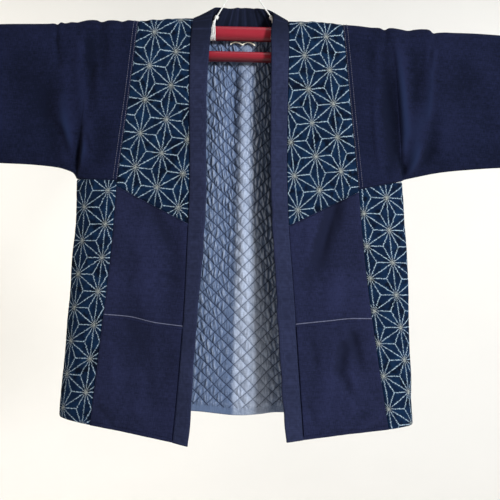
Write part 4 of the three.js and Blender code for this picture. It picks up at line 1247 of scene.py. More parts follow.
class Finish:
    """A material's node tree, with short ways to add to it."""

    def __init__(self, name):
        """A new material with nodes, named after the finish."""
        self.name = name
        self.material = bpy.data.materials.new(f"{name}_finish")
        self.material.use_nodes = True
        self.tree = self.material.node_tree
        self.shader = self.tree.nodes["Principled BSDF"]

    def feed(self, socket, value):
        """Links a field or a node's output to a socket, or sets the socket to a number or a colour."""
        if isinstance(value, Field):
            value = value.socket
        if isinstance(value, bpy.types.NodeSocket):
            self.tree.links.new(value, socket)
        elif socket.type == "RGBA":
            socket.default_value = (*value[:3], 1)
        else:
            socket.default_value = value

    def add(self, kind, settings=None, inputs=None):
        """Adds a node, with its settings and what its inputs are fed."""
        node = self.tree.nodes.new("ShaderNode" + kind)
        for key, value in (settings or {}).items():
            setattr(node, key, value)
        for key, value in (inputs or {}).items():
            self.feed(node.inputs[key], value)
        return node

    def set(self, **values):
        """Sets sockets of the shader: their names with _ for a space."""
        for key, value in values.items():
            self.feed(self.shader.inputs[key.replace("_", " ")], value)

    def matt(self, specular=0.03):
        """The way that all the cotton takes light."""
        self.set(Roughness=0.92, Specular_IOR_Level=specular, Sheen_Weight=0.01, Sheen_Roughness=0.6)

    def places(self, name):
        """The places of a UV map."""
        return self.add("UVMap", {"uv_map": name}).outputs["UV"]

    def own_space(self):
        """The places in the piece's own space, in metres."""
        return self.add("TexCoord").outputs["Object"]

    def parts(self, vector):
        """The three parts of a vector, each a field."""
        node = self.add("SeparateXYZ", inputs={"Vector": vector})
        return [Field(self, node.outputs[axis]) for axis in "XYZ"]

    def math(self, operation, *values):
        """A field worked out from numbers and other fields."""
        node = self.add("Math", {"operation": operation}, dict(enumerate(values)))
        return Field(self, node.outputs["Value"])

    def noise(self, vector, scale, detail=2.0, roughness=0.5):
        """Noise from 0 to 1. scale is one number, or one for each axis to draw it out into streaks."""
        if np.ndim(scale):
            vector = self.add("Mapping", inputs={"Vector": vector, "Scale": scale}).outputs["Vector"]
            scale = 1.0
        inputs = {"Vector": vector, "Scale": scale, "Detail": detail, "Roughness": roughness}
        return Field(self, self.add("TexNoise", inputs=inputs).outputs["Fac"])

    def blend(self, share, a, b):
        """Colour a where the share is 0 and b where it is 1."""
        return self.add("Mix", {"data_type": "RGBA"}, {0: share, 6: a, 7: b}).outputs[2]

    def relief(self, height, distance, strength=1.0):
        """Bump of a height from 0 to 1 that stands for this many metres."""
        bump = self.add("Bump", inputs={"Height": height, "Distance": distance, "Strength": strength})
        self.set(Normal=bump.outputs["Normal"])


THREAD_PITCH = 0.00105  # from yarn to yarn of the outer cotton's plain weave, in metres
LINING_PITCH = 0.0009  # and of the lining's
WEAVE_RISE = 0.00013  # a yarn's height over the next one


def weave(finish, places, pitch=THREAD_PITCH):
    """A plain weave's height, from 0 to 1: the product of the two yarns' sines."""
    u, v, _ = finish.parts(places)
    warp = finish.math("SINE", u * (2 * np.pi / pitch))
    weft = finish.math("SINE", v * (2 * np.pi / pitch))
    return warp * weft * 0.5 + 0.5


def slubs(finish, places):
    """Thick and thin places in the yarns, as streaks both ways, from 0 to 1."""
    return (finish.noise(places, (900, 110, 1), 3) + finish.noise(places, (110, 900, 1), 3)) * 0.5


def cotton(name, dark, light, crest, crease, neck=None):
    """Plain woven cotton: two shades by slubs, soft patches and bars of the weft, the lighter where folds
    stand proud, partly fading and partly painted light, with painted shade where they dip, and a third shade
    on their crests, a painted highlight; a weave's relief, and small creases that stand for crease
    millimetres. neck is a darker colour painted round the middle of the collar, a painted shade, but for a
    few streaks of painted light on its folds."""
    finish = Finish(name)
    places = finish.places("cloth")
    yarn = slubs(finish, places)
    faded = finish.noise(places, 9.0, 5, 0.62)
    bars = finish.noise(places, (14, 260, 1), 2)
    proud = finish.parts(finish.places("proud"))[0]
    # painted light and shade: folds that stand proud are drawn paler, partly fading, and those that dip
    # darker
    share = yarn.between(0.36, 0.66) + (faded * 1.5 - 0.75) + (bars * 0.9 - 0.45) + proud * 1.1
    dyed = finish.blend(share.clamped(), dark, light)
    # painted highlight: the crest colour laid on the folds that stand proud
    dyed = finish.blend(proud.between(0.15, 0.8) * 0.55, dyed, crest)
    # painted shade round the back of the neck and over the shoulders, broken by streaks of painted light on
    # its folds
    if neck is not None:
        away = abs(finish.parts(places)[1])
        streak = finish.noise(places, (6, 120, 1), 2).between(0.46, 0.7)
        dyed = finish.blend(away.between(0.075, 0.2).most(streak * 0.6), neck, dyed)
    finish.set(Base_Color=dyed)
    creased = finish.noise(places, (95, 48, 1), 4, 0.55)
    height = creased * (crease * MM / WEAVE_RISE) + yarn * 1.6 + weave(finish, places)
    finish.relief(height, WEAVE_RISE, 0.8)
    finish.matt()
    return finish


def hemp_leaf(name, ground, deep, bright, line, heart):
    """Indigo cotton with the hemp-leaf lattice: each triangle's edges and its three spokes from the middle.
    In the regular lattice three coordinates count the lines of the three families, and their fractions give
    a place's barycentric coordinates in its triangle. The least times the height is the distance from an
    edge, and half the difference of the two least is the distance from a spoke. The lines are frayed and
    broken by the yarns, and finer, less broken and warmer in colour towards a star's heart."""
    finish = Finish(name)
    cloth = finish.places("cloth")
    wobble = finish.add("TexNoise", inputs={"Vector": cloth, "Scale": 160.0, "Detail": 1.0}).outputs["Color"]
    pattern = zip(finish.parts(finish.places("pattern"))[:2], finish.parts(wobble))
    x, y = (place + (off - 0.5) * 0.035 for place, off in pattern)
    x = x + (finish.noise(cloth, (60, 620, 1), 1) * 0.1 - 0.05)
    lean = x * (1 / np.sqrt(3))
    fractions = [family.fraction() for family in (lean * 2, y - lean, (y + lean) * -1)]
    turned = finish.math("GREATER_THAN", fractions[0] + fractions[1] + fractions[2], 1.5)
    shares = [abs(turned - part) for part in fractions]
    least = shares[0].least(shares[1]).least(shares[2])
    most = shares[0].most(shares[1]).most(shares[2])
    edge = least * np.sqrt(0.75)
    spoke = (1.0 - least - most - least) * 0.5
    star = (1.0 - most) * np.sqrt(0.75)
    nearer = 1.0 - star.between(0.04, 0.26)
    reach = finish.noise(cloth, 520.0, 2) * 0.046 + (nearer * -0.006 - 0.0135)
    drawn = 1.0 - (edge.least(spoke) - reach).between(-0.005, 0.011)
    dashes = finish.noise(cloth, (360, 420, 1), 1).between(0.36, 0.56).most(nearer * 0.7)
    blob = 1.0 - star.between(0.012, 0.05)
    yarn = slubs(finish, cloth)
    mark = (drawn * (dashes * 0.72 + 0.28)).most(blob * 0.4) * (yarn.between(0.3, 0.7) * 0.35 + 0.65)
    dyed = finish.blend(finish.noise(cloth, 46.0, 3).between(0.42, 0.66), ground, bright)
    dyed = finish.blend(finish.noise(finish.own_space(), 60.0, 3).between(0.5, 0.68), dyed, deep)
    paste = finish.blend(1.0 - star.between(0.02, 0.2), line, heart)
    finish.set(Base_Color=finish.blend(mark, dyed, paste))
    finish.relief(yarn * 2.0 + weave(finish, cloth), 1.2 * WEAVE_RISE, 0.9)
    finish.matt()
    return finish


QUILT_LINE = 2 * QUILT_STEP / np.sqrt(2)  # a diamond's side
QUILT_STITCH = 4.2  # from one stitch of a quilting row to the next
HEM_STRIP = 0.013  # the height, in metres, of the lining's plain strip at the hem
PAINTED_LIT_START = -0.001  # where the lining's painted lit band begins, in metres from the middle


def quilted(name, pale, shade, thread, painted_lit_band=False):
    """Chambray with quilting rows: dashes where a place in the quilting's lattice is near a whole number,
    drawn wider than the thread and dark between the stitches, a painted shade in the rows' grooves. With a
    painted lit band there is a plain strip at the hem, and from PAINTED_LIT_START on the cloth is drawn
    paler, a painted light on the lining's lit fold: most of all low down, least at the top, a painted shade
    under the bars and shoulders, over a width that grows downwards, and half as much beyond, where the right
    front's shadow is painted. The rows of one slant are fainter on the band's side of its edge, and those of
    the other slant on the other side, a painted shade that falls in one slant's grooves more than the
    other's."""
    finish = Finish(name)
    cloth = finish.places("cloth")
    u, v, _ = finish.parts(cloth)
    p, q, _ = finish.parts(finish.places("pattern"))
    beyond = u.between(PAINTED_LIT_START - 0.006, PAINTED_LIT_START + 0.03) if painted_lit_band else 0.0
    # painted shade: each row is drawn wider than its thread and dark between stitches, the shade of its
    # groove, and each slant fainter on one side of the band's edge
    rows = []
    for across, along, weak in ((p, q, beyond), (q, p, 1.0 - beyond)):
        off = abs(across - finish.math("ROUND", across))
        near = 1.0 - (off * QUILT_LINE).between(0.45, 1.5)
        stitch = finish.math("LESS_THAN", (along * (QUILT_LINE / QUILT_STITCH)).fraction(), 0.7)
        rows.append(near * (stitch * 0.35 + 0.6) * (weak * -0.32 + 1.0))
    mark = rows[0].most(rows[1])
    yarn = slubs(finish, cloth)
    proud = finish.parts(finish.places("proud"))[0]
    # painted light and shade: wrinkle crests and puffs are drawn paler and troughs darker, partly wear
    share = yarn.between(0.3, 0.7) * 0.5 + (finish.noise(cloth, 30.0, 3) * 0.6 - 0.58) + proud * 0.75
    height = yarn * 1.4 + weave(finish, cloth, LINING_PITCH)
    if painted_lit_band:
        mark = mark * v.between(HEM_STRIP - 0.001, HEM_STRIP + 0.001)
        # painted light on the lit fold: least at the top, painted shade under the bars and shoulders, and
        # halved beyond the edge, painted shadow of the right front; the rows are fainter on it
        begins = u.between(PAINTED_LIT_START - 0.006, PAINTED_LIT_START + 0.006)
        edge = v.between(0.42, 0.08) * 0.04 + (PAINTED_LIT_START + 0.022)
        worn = begins * ((u - edge).between(0.0, 0.024) * -0.5 + 1.0)
        share = share + worn * (v.between(0.72, 0.12) * 0.8 + 0.34) * 0.62
        mark = mark * (worn * -0.3 + 1.0)
        height = height + finish.noise(cloth, (210, 60, 1), 2) * (begins * -6.5 + 8.5)
    finish.set(Base_Color=finish.blend(mark, finish.blend(share.clamped(), shade, pale), thread))
    finish.relief(height, WEAVE_RISE, 0.9)
    finish.matt(0.05)
    return finish


def spun(name, color, dark, twist=700.0, lustre=1.0):
    """Thread, cord or tape: two shades by fine noise along its own space, with a fibre's relief. dark is the
    darker shade, or its share of the colour."""
    finish = Finish(name)
    fibre = finish.noise(finish.own_space(), twist, 3, 0.6)
    shade = dark if np.ndim(dark) else [dark * part for part in color]
    finish.set(Base_Color=finish.blend(fibre.between(0.35, 0.62), shade, color))
    finish.relief(fibre, 0.0002, 0.6)
    finish.set(Roughness=0.82, Specular_IOR_Level=0.3 * lustre, Sheen_Weight=0.2 * lustre)
    return finish


def lacquer(name, color, deep):
    """Lacquered wood: a clear coat over red, deeper in broad streaks along the bar, and darker where it
    faces down, a painted shade on the underside, with brush marks."""
    finish = Finish(name)
    space = finish.own_space()
    # painted shade: the red deepens where the surface faces down, as well as in random streaks
    up = finish.parts(finish.add("TexCoord").outputs["Normal"])[2]
    faded = finish.noise(space, (6, 90, 90), 3) * -0.7 + up.between(-0.95, 0.25)
    finish.set(Base_Color=finish.blend((faded + 0.3).most(0), deep, color))
    finish.relief(finish.noise(space, (25, 900, 900), 2), 0.00003, 0.5)
    worn = finish.noise(space, 40.0, 3) * 0.2 + 0.3
    finish.set(Roughness=worn, Specular_IOR_Level=0.25, Coat_Weight=0.12, Coat_Roughness=0.2)
    return finish


# ---- What a user would change ----


def length(name, description, default):
    """A property in metres, at least 0."""
    return FloatProperty(name=name, description=description, default=default, min=0, unit="LENGTH")


def power(name, description, default):
    """A property in watts, at least 0."""
    return FloatProperty(name=name, description=description, default=default, min=0, unit="POWER")


def color(name, description, default):
    """A property that holds a colour."""
    about = {"name": name, "description": description, "default": default}
    return FloatVectorProperty(**about, min=0, max=1, subtype="COLOR")


class JacketProperties(PropertyGroup):
    """The jacket's cloth."""

    quilt_rise: length("Quilting rise", "Height of a diamond's middle over its quilting rows", 0.003)
    wrinkle: length("Wrinkles", "Height of the upright wrinkles in the lining's diamonds", 0.0018)
    inner_rise: length("Inner quilting rise", "The same inside the fronts, sides and sleeves", 0.0012)
    stitch: length("Topstitch", "Length from one topstitch to the next", 0.0042)
    navy: color("Navy", "The plain cotton's darker shade", (0.0046, 0.0062, 0.0165))
    navy_light: color("Faded navy", "The plain cotton's lighter shade", (0.0105, 0.0132, 0.0385))
    # painted highlight: the lit colour of the folds' crests
    painted_crest_highlight: color("Crests", "The shade on the folds' crests", (0.0105, 0.0185, 0.05))
    worn: color("Worn navy", "The fronts' darker shade", (0.0095, 0.0115, 0.029))
    worn_light: color("Worn faded navy", "The fronts' lighter shade", (0.0185, 0.0215, 0.059))
    collar_navy: color("Collar navy", "The collar's darker shade", (0.0145, 0.0175, 0.04))
    collar_light: color("Faded collar", "The collar's lighter shade", (0.0245, 0.029, 0.067))
    # painted shade: the collar's colour round the back of the neck
    painted_neck_shade: color("Neck navy", "The collar's shade round the back of the neck", (0.0065, 0.0085, 0.018))
    indigo: color("Indigo", "The ground of the hemp-leaf cloth", (0.0035, 0.0105, 0.03))
    indigo_deep: color("Deep indigo", "Its darkest patches", (0.002, 0.0045, 0.012))
    indigo_bright: color("Bright indigo", "Its brighter patches", (0.005, 0.018, 0.048))
    leaf: color("Hemp leaf", "The lattice's lines", (0.4, 0.51, 0.61))
    heart: color("Leaf's heart", "The middles of the lattice's stars", (0.41, 0.42, 0.38))
    # the paler shade is also the colour of the painted lit band on the back's lining
    lining: color("Lining", "The quilted lining's paler shade", (0.46, 0.51, 0.63))
    lining_shade: color("Lining shade", "The quilted lining's darker shade", (0.105, 0.142, 0.232))
    # its rows also carry the painted shade of the quilting grooves
    quilting: color("Quilting thread", "The rows on the lining", (0.012, 0.016, 0.038))
    # its thick row beside the collar also stands for the seam's painted shadow
    seam_thread: color("Seam thread", "The rows along the collar, cuffs and pockets", (0.004, 0.005, 0.012))
    topstitch: color("Topstitch thread", "The rows at the armholes", (0.15, 0.145, 0.22))
    piping: color("Piping", "The pockets' edge", (0.15, 0.155, 0.24))
    tape: color("Loop tape", "The hanger loop", (1.0, 0.93, 0.74))


class HangerProperties(PropertyGroup):
    """The hanger and its cord."""

    red: color("Lacquer", "The bars' red", (0.29, 0.014, 0.027))
    # deep red for the streaks and for the painted shade on the bars' undersides
    streak_and_painted_shade_red: color("Deep lacquer", "The bars' darker streaks", (0.085, 0.005, 0.009))
    cord: color("Cord", "The cord, knots and tassels", (0.86, 0.85, 0.81))
    cord_shade: color("Cord shade", "Between the cord's fibres", (0.6, 0.58, 0.54))
    spread: length("Tassel spread", "Half the width of a tassel's lower end", 0.0052)


class StageProperties(PropertyGroup):
    """Camera, light, floor and backdrop."""

    distance: length("Camera distance", "From the camera to the hanger's plane", 1.4)
    key_power: power("Key light", "The window-like light at the front right", 222)
    fill_power: power("Fill light", "The wide light at the front left", 16)
    top_power: power("Top light", "The light above the hanger", 10)
    rear_power: power("Rear light", "The light behind the jacket", 50)
    wash_power: power("Wash", "Each of the backdrop's lights", 45)
    sky: FloatProperty(name="Room light", description="Strength of the pale room's own light", default=0.14)
    room: color("Room", "Floor and backdrop", (0.8, 0.78, 0.75))


# ---- Putting pieces into the scene ----

FINISHES = {}
INNER_STEP = 2  # a piece's inner face keeps every second line of its grid


def add_piece(name, mesh, slot, stands_for=(), looks=None):
    """Puts a mesh into the scene as a piece of the garment or its hanger. looks are the finishes of its
    material slots, the part's slot's own if none are named."""
    for look in looks or (slot,):
        mesh.materials.append(FINISHES[look])
    piece = bpy.data.objects.new(name, mesh)
    bpy.context.scene.collection.objects.link(piece)
    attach(piece, BODY)
    if stands_for:
        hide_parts(*stands_for)
    return piece


def add_body(name, slot, node, rings, closed=False):
    """Puts in a body through rings of points, open or joined end to end."""
    return add_piece(name, make_mesh(name, *lofted(rings, closed)), slot, [node])


def sewn(name, cloth, thick, looks, slot, stands_for, patterns=(None, None), puff=0.0):
    """Makes a cloth piece: both faces turn in at its edges, and quilting stands up on its inner face by puff
    millimetres."""
    edge = edge_distance(cloth.at)
    dip = EDGE_DIP * np.exp(-((edge / EDGE_REACH) ** 2))
    patterns = [cloth.cloth * MM if pattern is None else pattern for pattern in patterns]
    inner = cloth.at + cloth.into * (thick - dip)[..., None]
    if puff:
        inner = inner + cloth.into * (puff * ease(edge, 2, 7) * quilt_puff(patterns[1], 5))[..., None]
    outer = cloth.at + cloth.into * dip[..., None]
    mesh = shell_mesh(name, outer, inner, cloth.cloth, patterns, cloth.proud, INNER_STEP)
    return add_piece(name, mesh, slot, stands_for, looks)


def lined(name, node, cloth, face, rim, slot, hemp=None):
    """Makes a wadded piece with the quilted lining inside. hemp names the hemp-leaf lattice of its face."""
    x, z = cloth.cloth[..., 0], cloth.cloth[..., 1]
    leaf = None if hemp is None else lattice_places(HEMP[hemp], x, z)
    puff = bpy.context.scene.jacket.inner_rise / MM
    patterns = (leaf, quilt_places(x, z, 13))
    return sewn(name, cloth, CLOTH, (face, "inner_lining", rim), slot, [node], patterns, puff)


# ---- Operators: one for each piece or group of like pieces, and for the stage ----

# The camera's place in metres, how far it is rolled in degrees, and its lens in millimetres.
CAMERA = SimpleNamespace(x=0.0262, z=-0.516, roll=-1.3, lens=53.06, sensor=36)


class JACKET_OT_camera(Operator):
    """Place the camera before the jacket, level with its middle and rolled a little"""

    bl_idname = "jacket.camera"
    bl_label = "Place Camera"

    def execute(self, context):
        data = bpy.data.cameras.new("camera")
        data.sensor_width = CAMERA.sensor
        data.lens = CAMERA.lens
        data.clip_start = 0.05
        data.clip_end = 30
        camera = bpy.data.objects.new("camera", data)
        context.scene.collection.objects.link(camera)
        camera.location = (CAMERA.x, -context.scene.jacket_stage.distance, CAMERA.z)
        camera.rotation_euler = (np.radians(90), np.radians(CAMERA.roll), 0)
        context.scene.camera = camera
        return {"FINISHED"}


class JACKET_OT_finishes(Operator):
    """Make the cloths', threads' and lacquer's materials"""

    bl_idname = "jacket.finishes"
    bl_label = "Make Finishes"

    def execute(self, context):
        jacket, hanger = context.scene.jacket, context.scene.jacket_hanger
        indigo = (jacket.indigo, jacket.indigo_deep, jacket.indigo_bright)
        lining = (jacket.lining, jacket.lining_shade, jacket.quilting)
        collar = (jacket.collar_navy, jacket.collar_light, jacket.collar_light)
        made = (
            cotton("navy_cotton", jacket.navy, jacket.navy_light, jacket.painted_crest_highlight, 0.35),
            cotton("worn_cotton", jacket.worn, jacket.worn_light, jacket.worn_light, 1.3),
            cotton("collar_cotton", *collar, 0.9, jacket.painted_neck_shade),
            hemp_leaf("hemp_leaf_cotton", *indigo, jacket.leaf, jacket.heart),
            quilted("quilted_lining", *lining, painted_lit_band=True),
            quilted("inner_lining", *lining),
            spun("lilac_piping", jacket.piping, 0.6),
            spun("cream_tape", jacket.tape, 0.88),
            spun("topstitch_thread", jacket.topstitch, 0.6),
            spun("seam_thread", jacket.seam_thread, 0.6, lustre=0.0),
            lacquer("red_lacquer", hanger.red, hanger.streak_and_painted_shade_red),
            spun("white_cord", hanger.cord, hanger.cord_shade, 1100.0),
        )
        for finish in made:
            FINISHES[finish.name] = finish.material
        return {"FINISHED"}


# A knot's coil, its middle line's least radius and how much it swells, and its cord's radius.
KNOT = SimpleNamespace(lean=0.8, turns=4.2, radius=2.35, swell=0.75, half_height=3.1, cord=1.0)
# A tassel's head from its knot, its half width and half height, its strands, and their bundle's reach at the
# head and, from front to back, at the lower end.
TASSEL = SimpleNamespace(
    out=4,
    forward=8,
    down=11.5,
    half_width=2.9,
    half_height=3.2,
    strands=54,
    strand=0.36,
    fall=33,
    root=1.9,
    deep=2.4,
)
STRAND_TURN = 2.4  # the golden angle: strands set by it fill a disc evenly


class JACKET_OT_cord(Operator):
    """Run the twisted cord from the bar over the hook and back, with its knots and tassels"""

    bl_idname = "jacket.cord"
    bl_label = "Tie Cord"

    def execute(self, context):
        route = smooth_path(cord_route(), 0.5)
        cord = add_body("cord", "white_cord", "hanger_cord", twisted(route, CORD_RADIUS, 9.0, (0, 1, 0)))
        path = (route * MM).tolist()
        for foot in CORD_FEET:
            self.knot(foot)
            self.tassel(foot, context.scene.jacket_hanger.spread / MM)
            self.link(foot)
        return {"FINISHED"}

    def knot(self, foot):
        """Turns of cord lying against each other round the leg: rings whose middle line's radius swells in
        the knot's middle."""
        t = np.linspace(0, 1, 260)
        angle = 2 * np.pi * KNOT.turns * t
        radius = KNOT.radius + KNOT.swell * np.sin(np.pi * t) ** 0.7
        height = mix(-KNOT.half_height, KNOT.half_height, t)
        rings = coil_rings(points(radius * np.cos(angle), radius * np.sin(angle), height), KNOT.cord, 10)
        rings = leaned(rings, np.arctan2(-foot.knot_x * KNOT.lean, -foot.knot_z))
        rings = rings + [foot.knot_x, 0, foot.knot_z]
        add_body(f"knot_{foot.name}", "white_cord", f"cord_knot_{foot.name}", rings)

    def tassel(self, foot, spread):
        """A bound head with a stem, and strands that hang and fan a little from it, each a bowed line."""
        head = np.array([foot.knot_x + foot.sign * TASSEL.out, -TASSEL.forward, foot.knot_z - TASSEL.down])
        t = np.linspace(0, np.pi, 14)
        ball = head + points(0, 0, -TASSEL.half_height * np.cos(t))
        girth = np.maximum(TASSEL.half_width * np.sin(t), 0.05)
        stem = np.array([[foot.knot_x + foot.sign * 1.2, -5.0, foot.knot_z - 2], head + [0, 0, 1.5]])
        bodies = [
            lofted(tube_rings(ball, girth, 18, (0, 1, 0))),
            lofted(twisted(resampled(stem, 0.6), 0.9, 5.0, (0, 1, 0), 12)),
        ]
        random = np.random.default_rng(80 + foot.seed)
        share = np.linspace(0, 1, 7)[:, None]
        for k in range(TASSEL.strands):
            out = np.sqrt((k + 0.5) / TASSEL.strands)
            x, y = out * np.cos(STRAND_TURN * k), out * np.sin(STRAND_TURN * k)
            root = head + [TASSEL.root * x, TASSEL.root * y, -1.0]
            fall = TASSEL.fall + random.uniform(-2.2, 1.2)
            end = root + [spread * x + foot.sign * 3, TASSEL.deep * y - 1.6, -fall]
            line = mix(root, end, share) + np.sin(np.pi * share) * random.uniform(-0.7, 0.7, 3) * [1, 1, 0]
            bodies.append(lofted(tube_rings(line, TASSEL.strand, 4, (0, 1, 0))))
        name = f"tassel_strands_{foot.name}"
        add_piece(name, joined_mesh(name, bodies), "white_cord", [f"tassel_{foot.name}"])

    def link(self, foot):
        """A closed loop of twisted cord round the bar and the rail."""
        path = smooth_path(link_route(foot.sign * LINK_X), 0.6, closed=True)
        rings = twisted(path, LINK_RADIUS, 6.0, (1, 0, 0), 12)
        add_body(f"link_{foot.name}", "white_cord", f"rail_link_{foot.name}", rings, closed=True)


class JACKET_OT_hanger(Operator):
    """Turn the two lacquered bars"""

    bl_idname = "jacket.hanger"
    bl_label = "Turn Hanger Bars"

    def execute(self, context):
        bar = rounded_bar(bar_top, BAR_HALF_HEIGHT, BAR_HALF_DEPTH, BAR_HALF_LENGTH)
        add_body("bar_upper", "red_lacquer", "hanger_bar", bar)
        rail = rounded_bar(rail_top, RAIL_RADIUS, RAIL_RADIUS, RAIL_HALF_LENGTH)
        add_body("bar_lower", "red_lacquer", "hanger_rail", rail)
        return {"FINISHED"}


class JACKET_OT_back(Operator):
    """Sew the plain back, from the shoulders to the hem"""

    bl_idname = "jacket.back"
    bl_label = "Sew Back"

    def execute(self, context):
        cloth = back_surface()
        inner = quilt_places(cloth.cloth[..., 0], cloth.cloth[..., 1], 3)
        looks = ("navy_cotton", "inner_lining", "navy_cotton")
        back = sewn("back_cloth", cloth, BACK_CLOTH, looks, "navy_cotton", ["back"], (None, inner))
        return {"FINISHED"}


class JACKET_OT_lining(Operator):
    """Sew the back's lining with its raised diamonds"""

    bl_idname = "jacket.lining"
    bl_label = "Sew Quilted Lining"

    def execute(self, context):
        jacket = context.scene.jacket
        share = np.linspace(-1, 1, LINING_LINES[0])[None]
        x = LINING_HALF * share * (1 + share**2) / 2
        hem = through(BACK_HEM, "x", "z", x) + 1
        z = mix(LINING_TOP, hem, np.linspace(0, 1, LINING_LINES[1])[:, None])
        x = np.broadcast_to(x, z.shape)
        height = z - hem
        rear = back_y(x, z) - BACK_CLOTH - SEAM
        places = quilt_places(x, z - LINING_TOP, 7)
        inside = ease(height, 10, 20) * ease(LINING_HALF - np.abs(x), 1, 8) * ease(LINING_TOP - z, 0, 6)
        pucker = 0.35 * ripple(x, z, 9, 7, 3.0) * np.exp(-((height - 13) ** 2) / 60)
        wrinkles = inside * quilt_wrinkles(places, x, z, 15)
        puff = inside * quilt_puff(places, 8)
        front = rear - LINING - jacket.quilt_rise / MM * puff - pucker - jacket.wrinkle / MM * wrinkles
        outer, inner = points(x, front, z), points(x, rear, z)
        # painted light and shade: wrinkle crests, puffs and forward folds are drawn paler, partly wear, their
        # troughs darker
        proud = PROUD_UNIT * (0.5 * wrinkles + 0.3 * (puff - 0.6)) - 0.2 * fold_rise(BACK_FOLDS, x, z)
        cloth = np.stack([x, height], -1)
        mesh = shell_mesh("lining_cloth", outer, inner, cloth, (places, places), proud, LINING_INNER_STEP)
        looks = ("quilted_lining", "inner_lining", "quilted_lining")
        lining = add_piece("lining_cloth", mesh, "quilted_lining", ["back_lining"], looks)
        return {"FINISHED"}


class JACKET_OT_fronts(Operator):
    """Sew the hemp-leaf yokes and the plain fronts below them"""

    bl_idname = "jacket.fronts"
    bl_label = "Sew Yokes and Fronts"

    def execute(self, context):
        for side in SIDES:
            node = f"yoke_{side.name}"
            looks = ("hemp_leaf_cotton", "navy_cotton", "hemp_leaf_cotton")
            piece = lined(f"yoke_cloth_{side.name}", node, yoke_surface(side), *looks, hemp=node)
            looks = ("worn_cotton", "worn_cotton", "navy_cotton")
            piece = lined(f"front_cloth_{side.name}", f"front_{side.name}", front_surface(side), *looks)
        return {"FINISHED"}


class JACKET_OT_pockets(Operator):
    """Sew the patch pockets and the piping above their mouths"""

    bl_idname = "jacket.pockets"
    bl_label = "Sew Pockets"

    def execute(self, context):
        for side in SIDES:
            pocket = pocket_surface(side)
            looks = ("worn_cotton",) * 3
            name = f"pocket_cloth_{side.name}"
            piece = sewn(name, pocket, POCKET_CLOTH, looks, "navy_cotton", [f"pocket_{side.name}"])
            self.piping(side)
        return {"FINISHED"}

    def piping(self, side):
        """A half-round strip on the front, just above the pocket's mouth."""
        across = np.linspace(0.004, 0.996, 90)[:, None]
        angle = np.linspace(0, np.pi, 9)[None]
        up = 0.5 - 0.5 * np.cos(angle)
        z = pocket_top(side, across) + SEAM + up * PIPING_WIDTH
        face = hanging_front(side, across, z).at
        top = face - points(0, PIPING_STANDS * np.sin(angle) - PIPING_SUNK, 0)
        under = face[:, ::-1][:, 1:-1] + [0, PIPING_UNDER, 0]
        name = f"piping_{side.name}"
        add_body(name, "lilac_piping", f"pocket_{name}", np.concatenate([top, under], axis=1))


class JACKET_OT_side_panels(Operator):
    """Sew the hemp-leaf side panels round from front to back"""

    bl_idname = "jacket.side_panels"
    bl_label = "Sew Side Panels"

    def execute(self, context):
        for side in SIDES:
            looks = ("hemp_leaf_cotton", "navy_cotton", "hemp_leaf_cotton")
            name, node = f"side_cloth_{side.name}", f"side_panel_{side.name}"
            piece = lined(name, node, panel_surface(side), *looks, hemp=f"side_{side.name}")
        return {"FINISHED"}


class JACKET_OT_sleeves(Operator):
    """Sew the wide flat sleeves over the bar"""

    bl_idname = "jacket.sleeves"
    bl_label = "Sew Sleeves"

    def execute(self, context):
        for side in SIDES:
            looks = ("navy_cotton",) * 3
            piece = lined(f"sleeve_cloth_{side.name}", f"sleeve_{side.name}", sleeve_surface(side), *looks)
        return {"FINISHED"}


class JACKET_OT_collar(Operator):
    """Sew the padded collar from hem to hem round the neck"""

    bl_idname = "jacket.collar"
    bl_label = "Sew Collar"

    def execute(self, context):
        rings, along = collar_rings()
        across = COLLAR_WIDE * np.arange(COLLAR_SIDES) / COLLAR_SIDES
        cloth = np.stack(np.broadcast_arrays(across[None], along[:, None] - along[-1] / 2), -1) * MM
        maps = {"cloth": cloth, "pattern": cloth, "proud": 0 * cloth}
        mesh = make_mesh("collar_band", *lofted(rings), None, maps)
        collar = add_piece("collar_band", mesh, "collar_cotton", ["collar"])
        return {"FINISHED"}


def beside(cloth, edge, distance):
    """Points on a surface at a distance from one of its edges, and their normals: each line of the grid that
    leaves that edge is followed for the distance."""
    turned = {
        "first": lambda grid: grid,
        "last": lambda grid: grid[:, ::-1],
        "top": lambda grid: grid.swapaxes(0, 1),
        "bottom": lambda grid: grid[::-1].swapaxes(0, 1),
    }[edge]
    at, into = turned(cloth.at), turned(cloth.into)
    far = lengths(at, 1)
    rows = np.arange(len(at))
    k = np.minimum((far < distance).sum(1), at.shape[1] - 1) - 1
    share = ((distance - far[rows, k]) / (far[rows, k + 1] - far[rows, k]))[:, None]
    dip = EDGE_DIP * np.exp(-((distance / EDGE_REACH) ** 2))
    place = mix(at[rows, k], at[rows, k + 1], share)
    inward = unit(mix(into[rows, k], into[rows, k + 1], share))
    return place + dip * inward, -inward


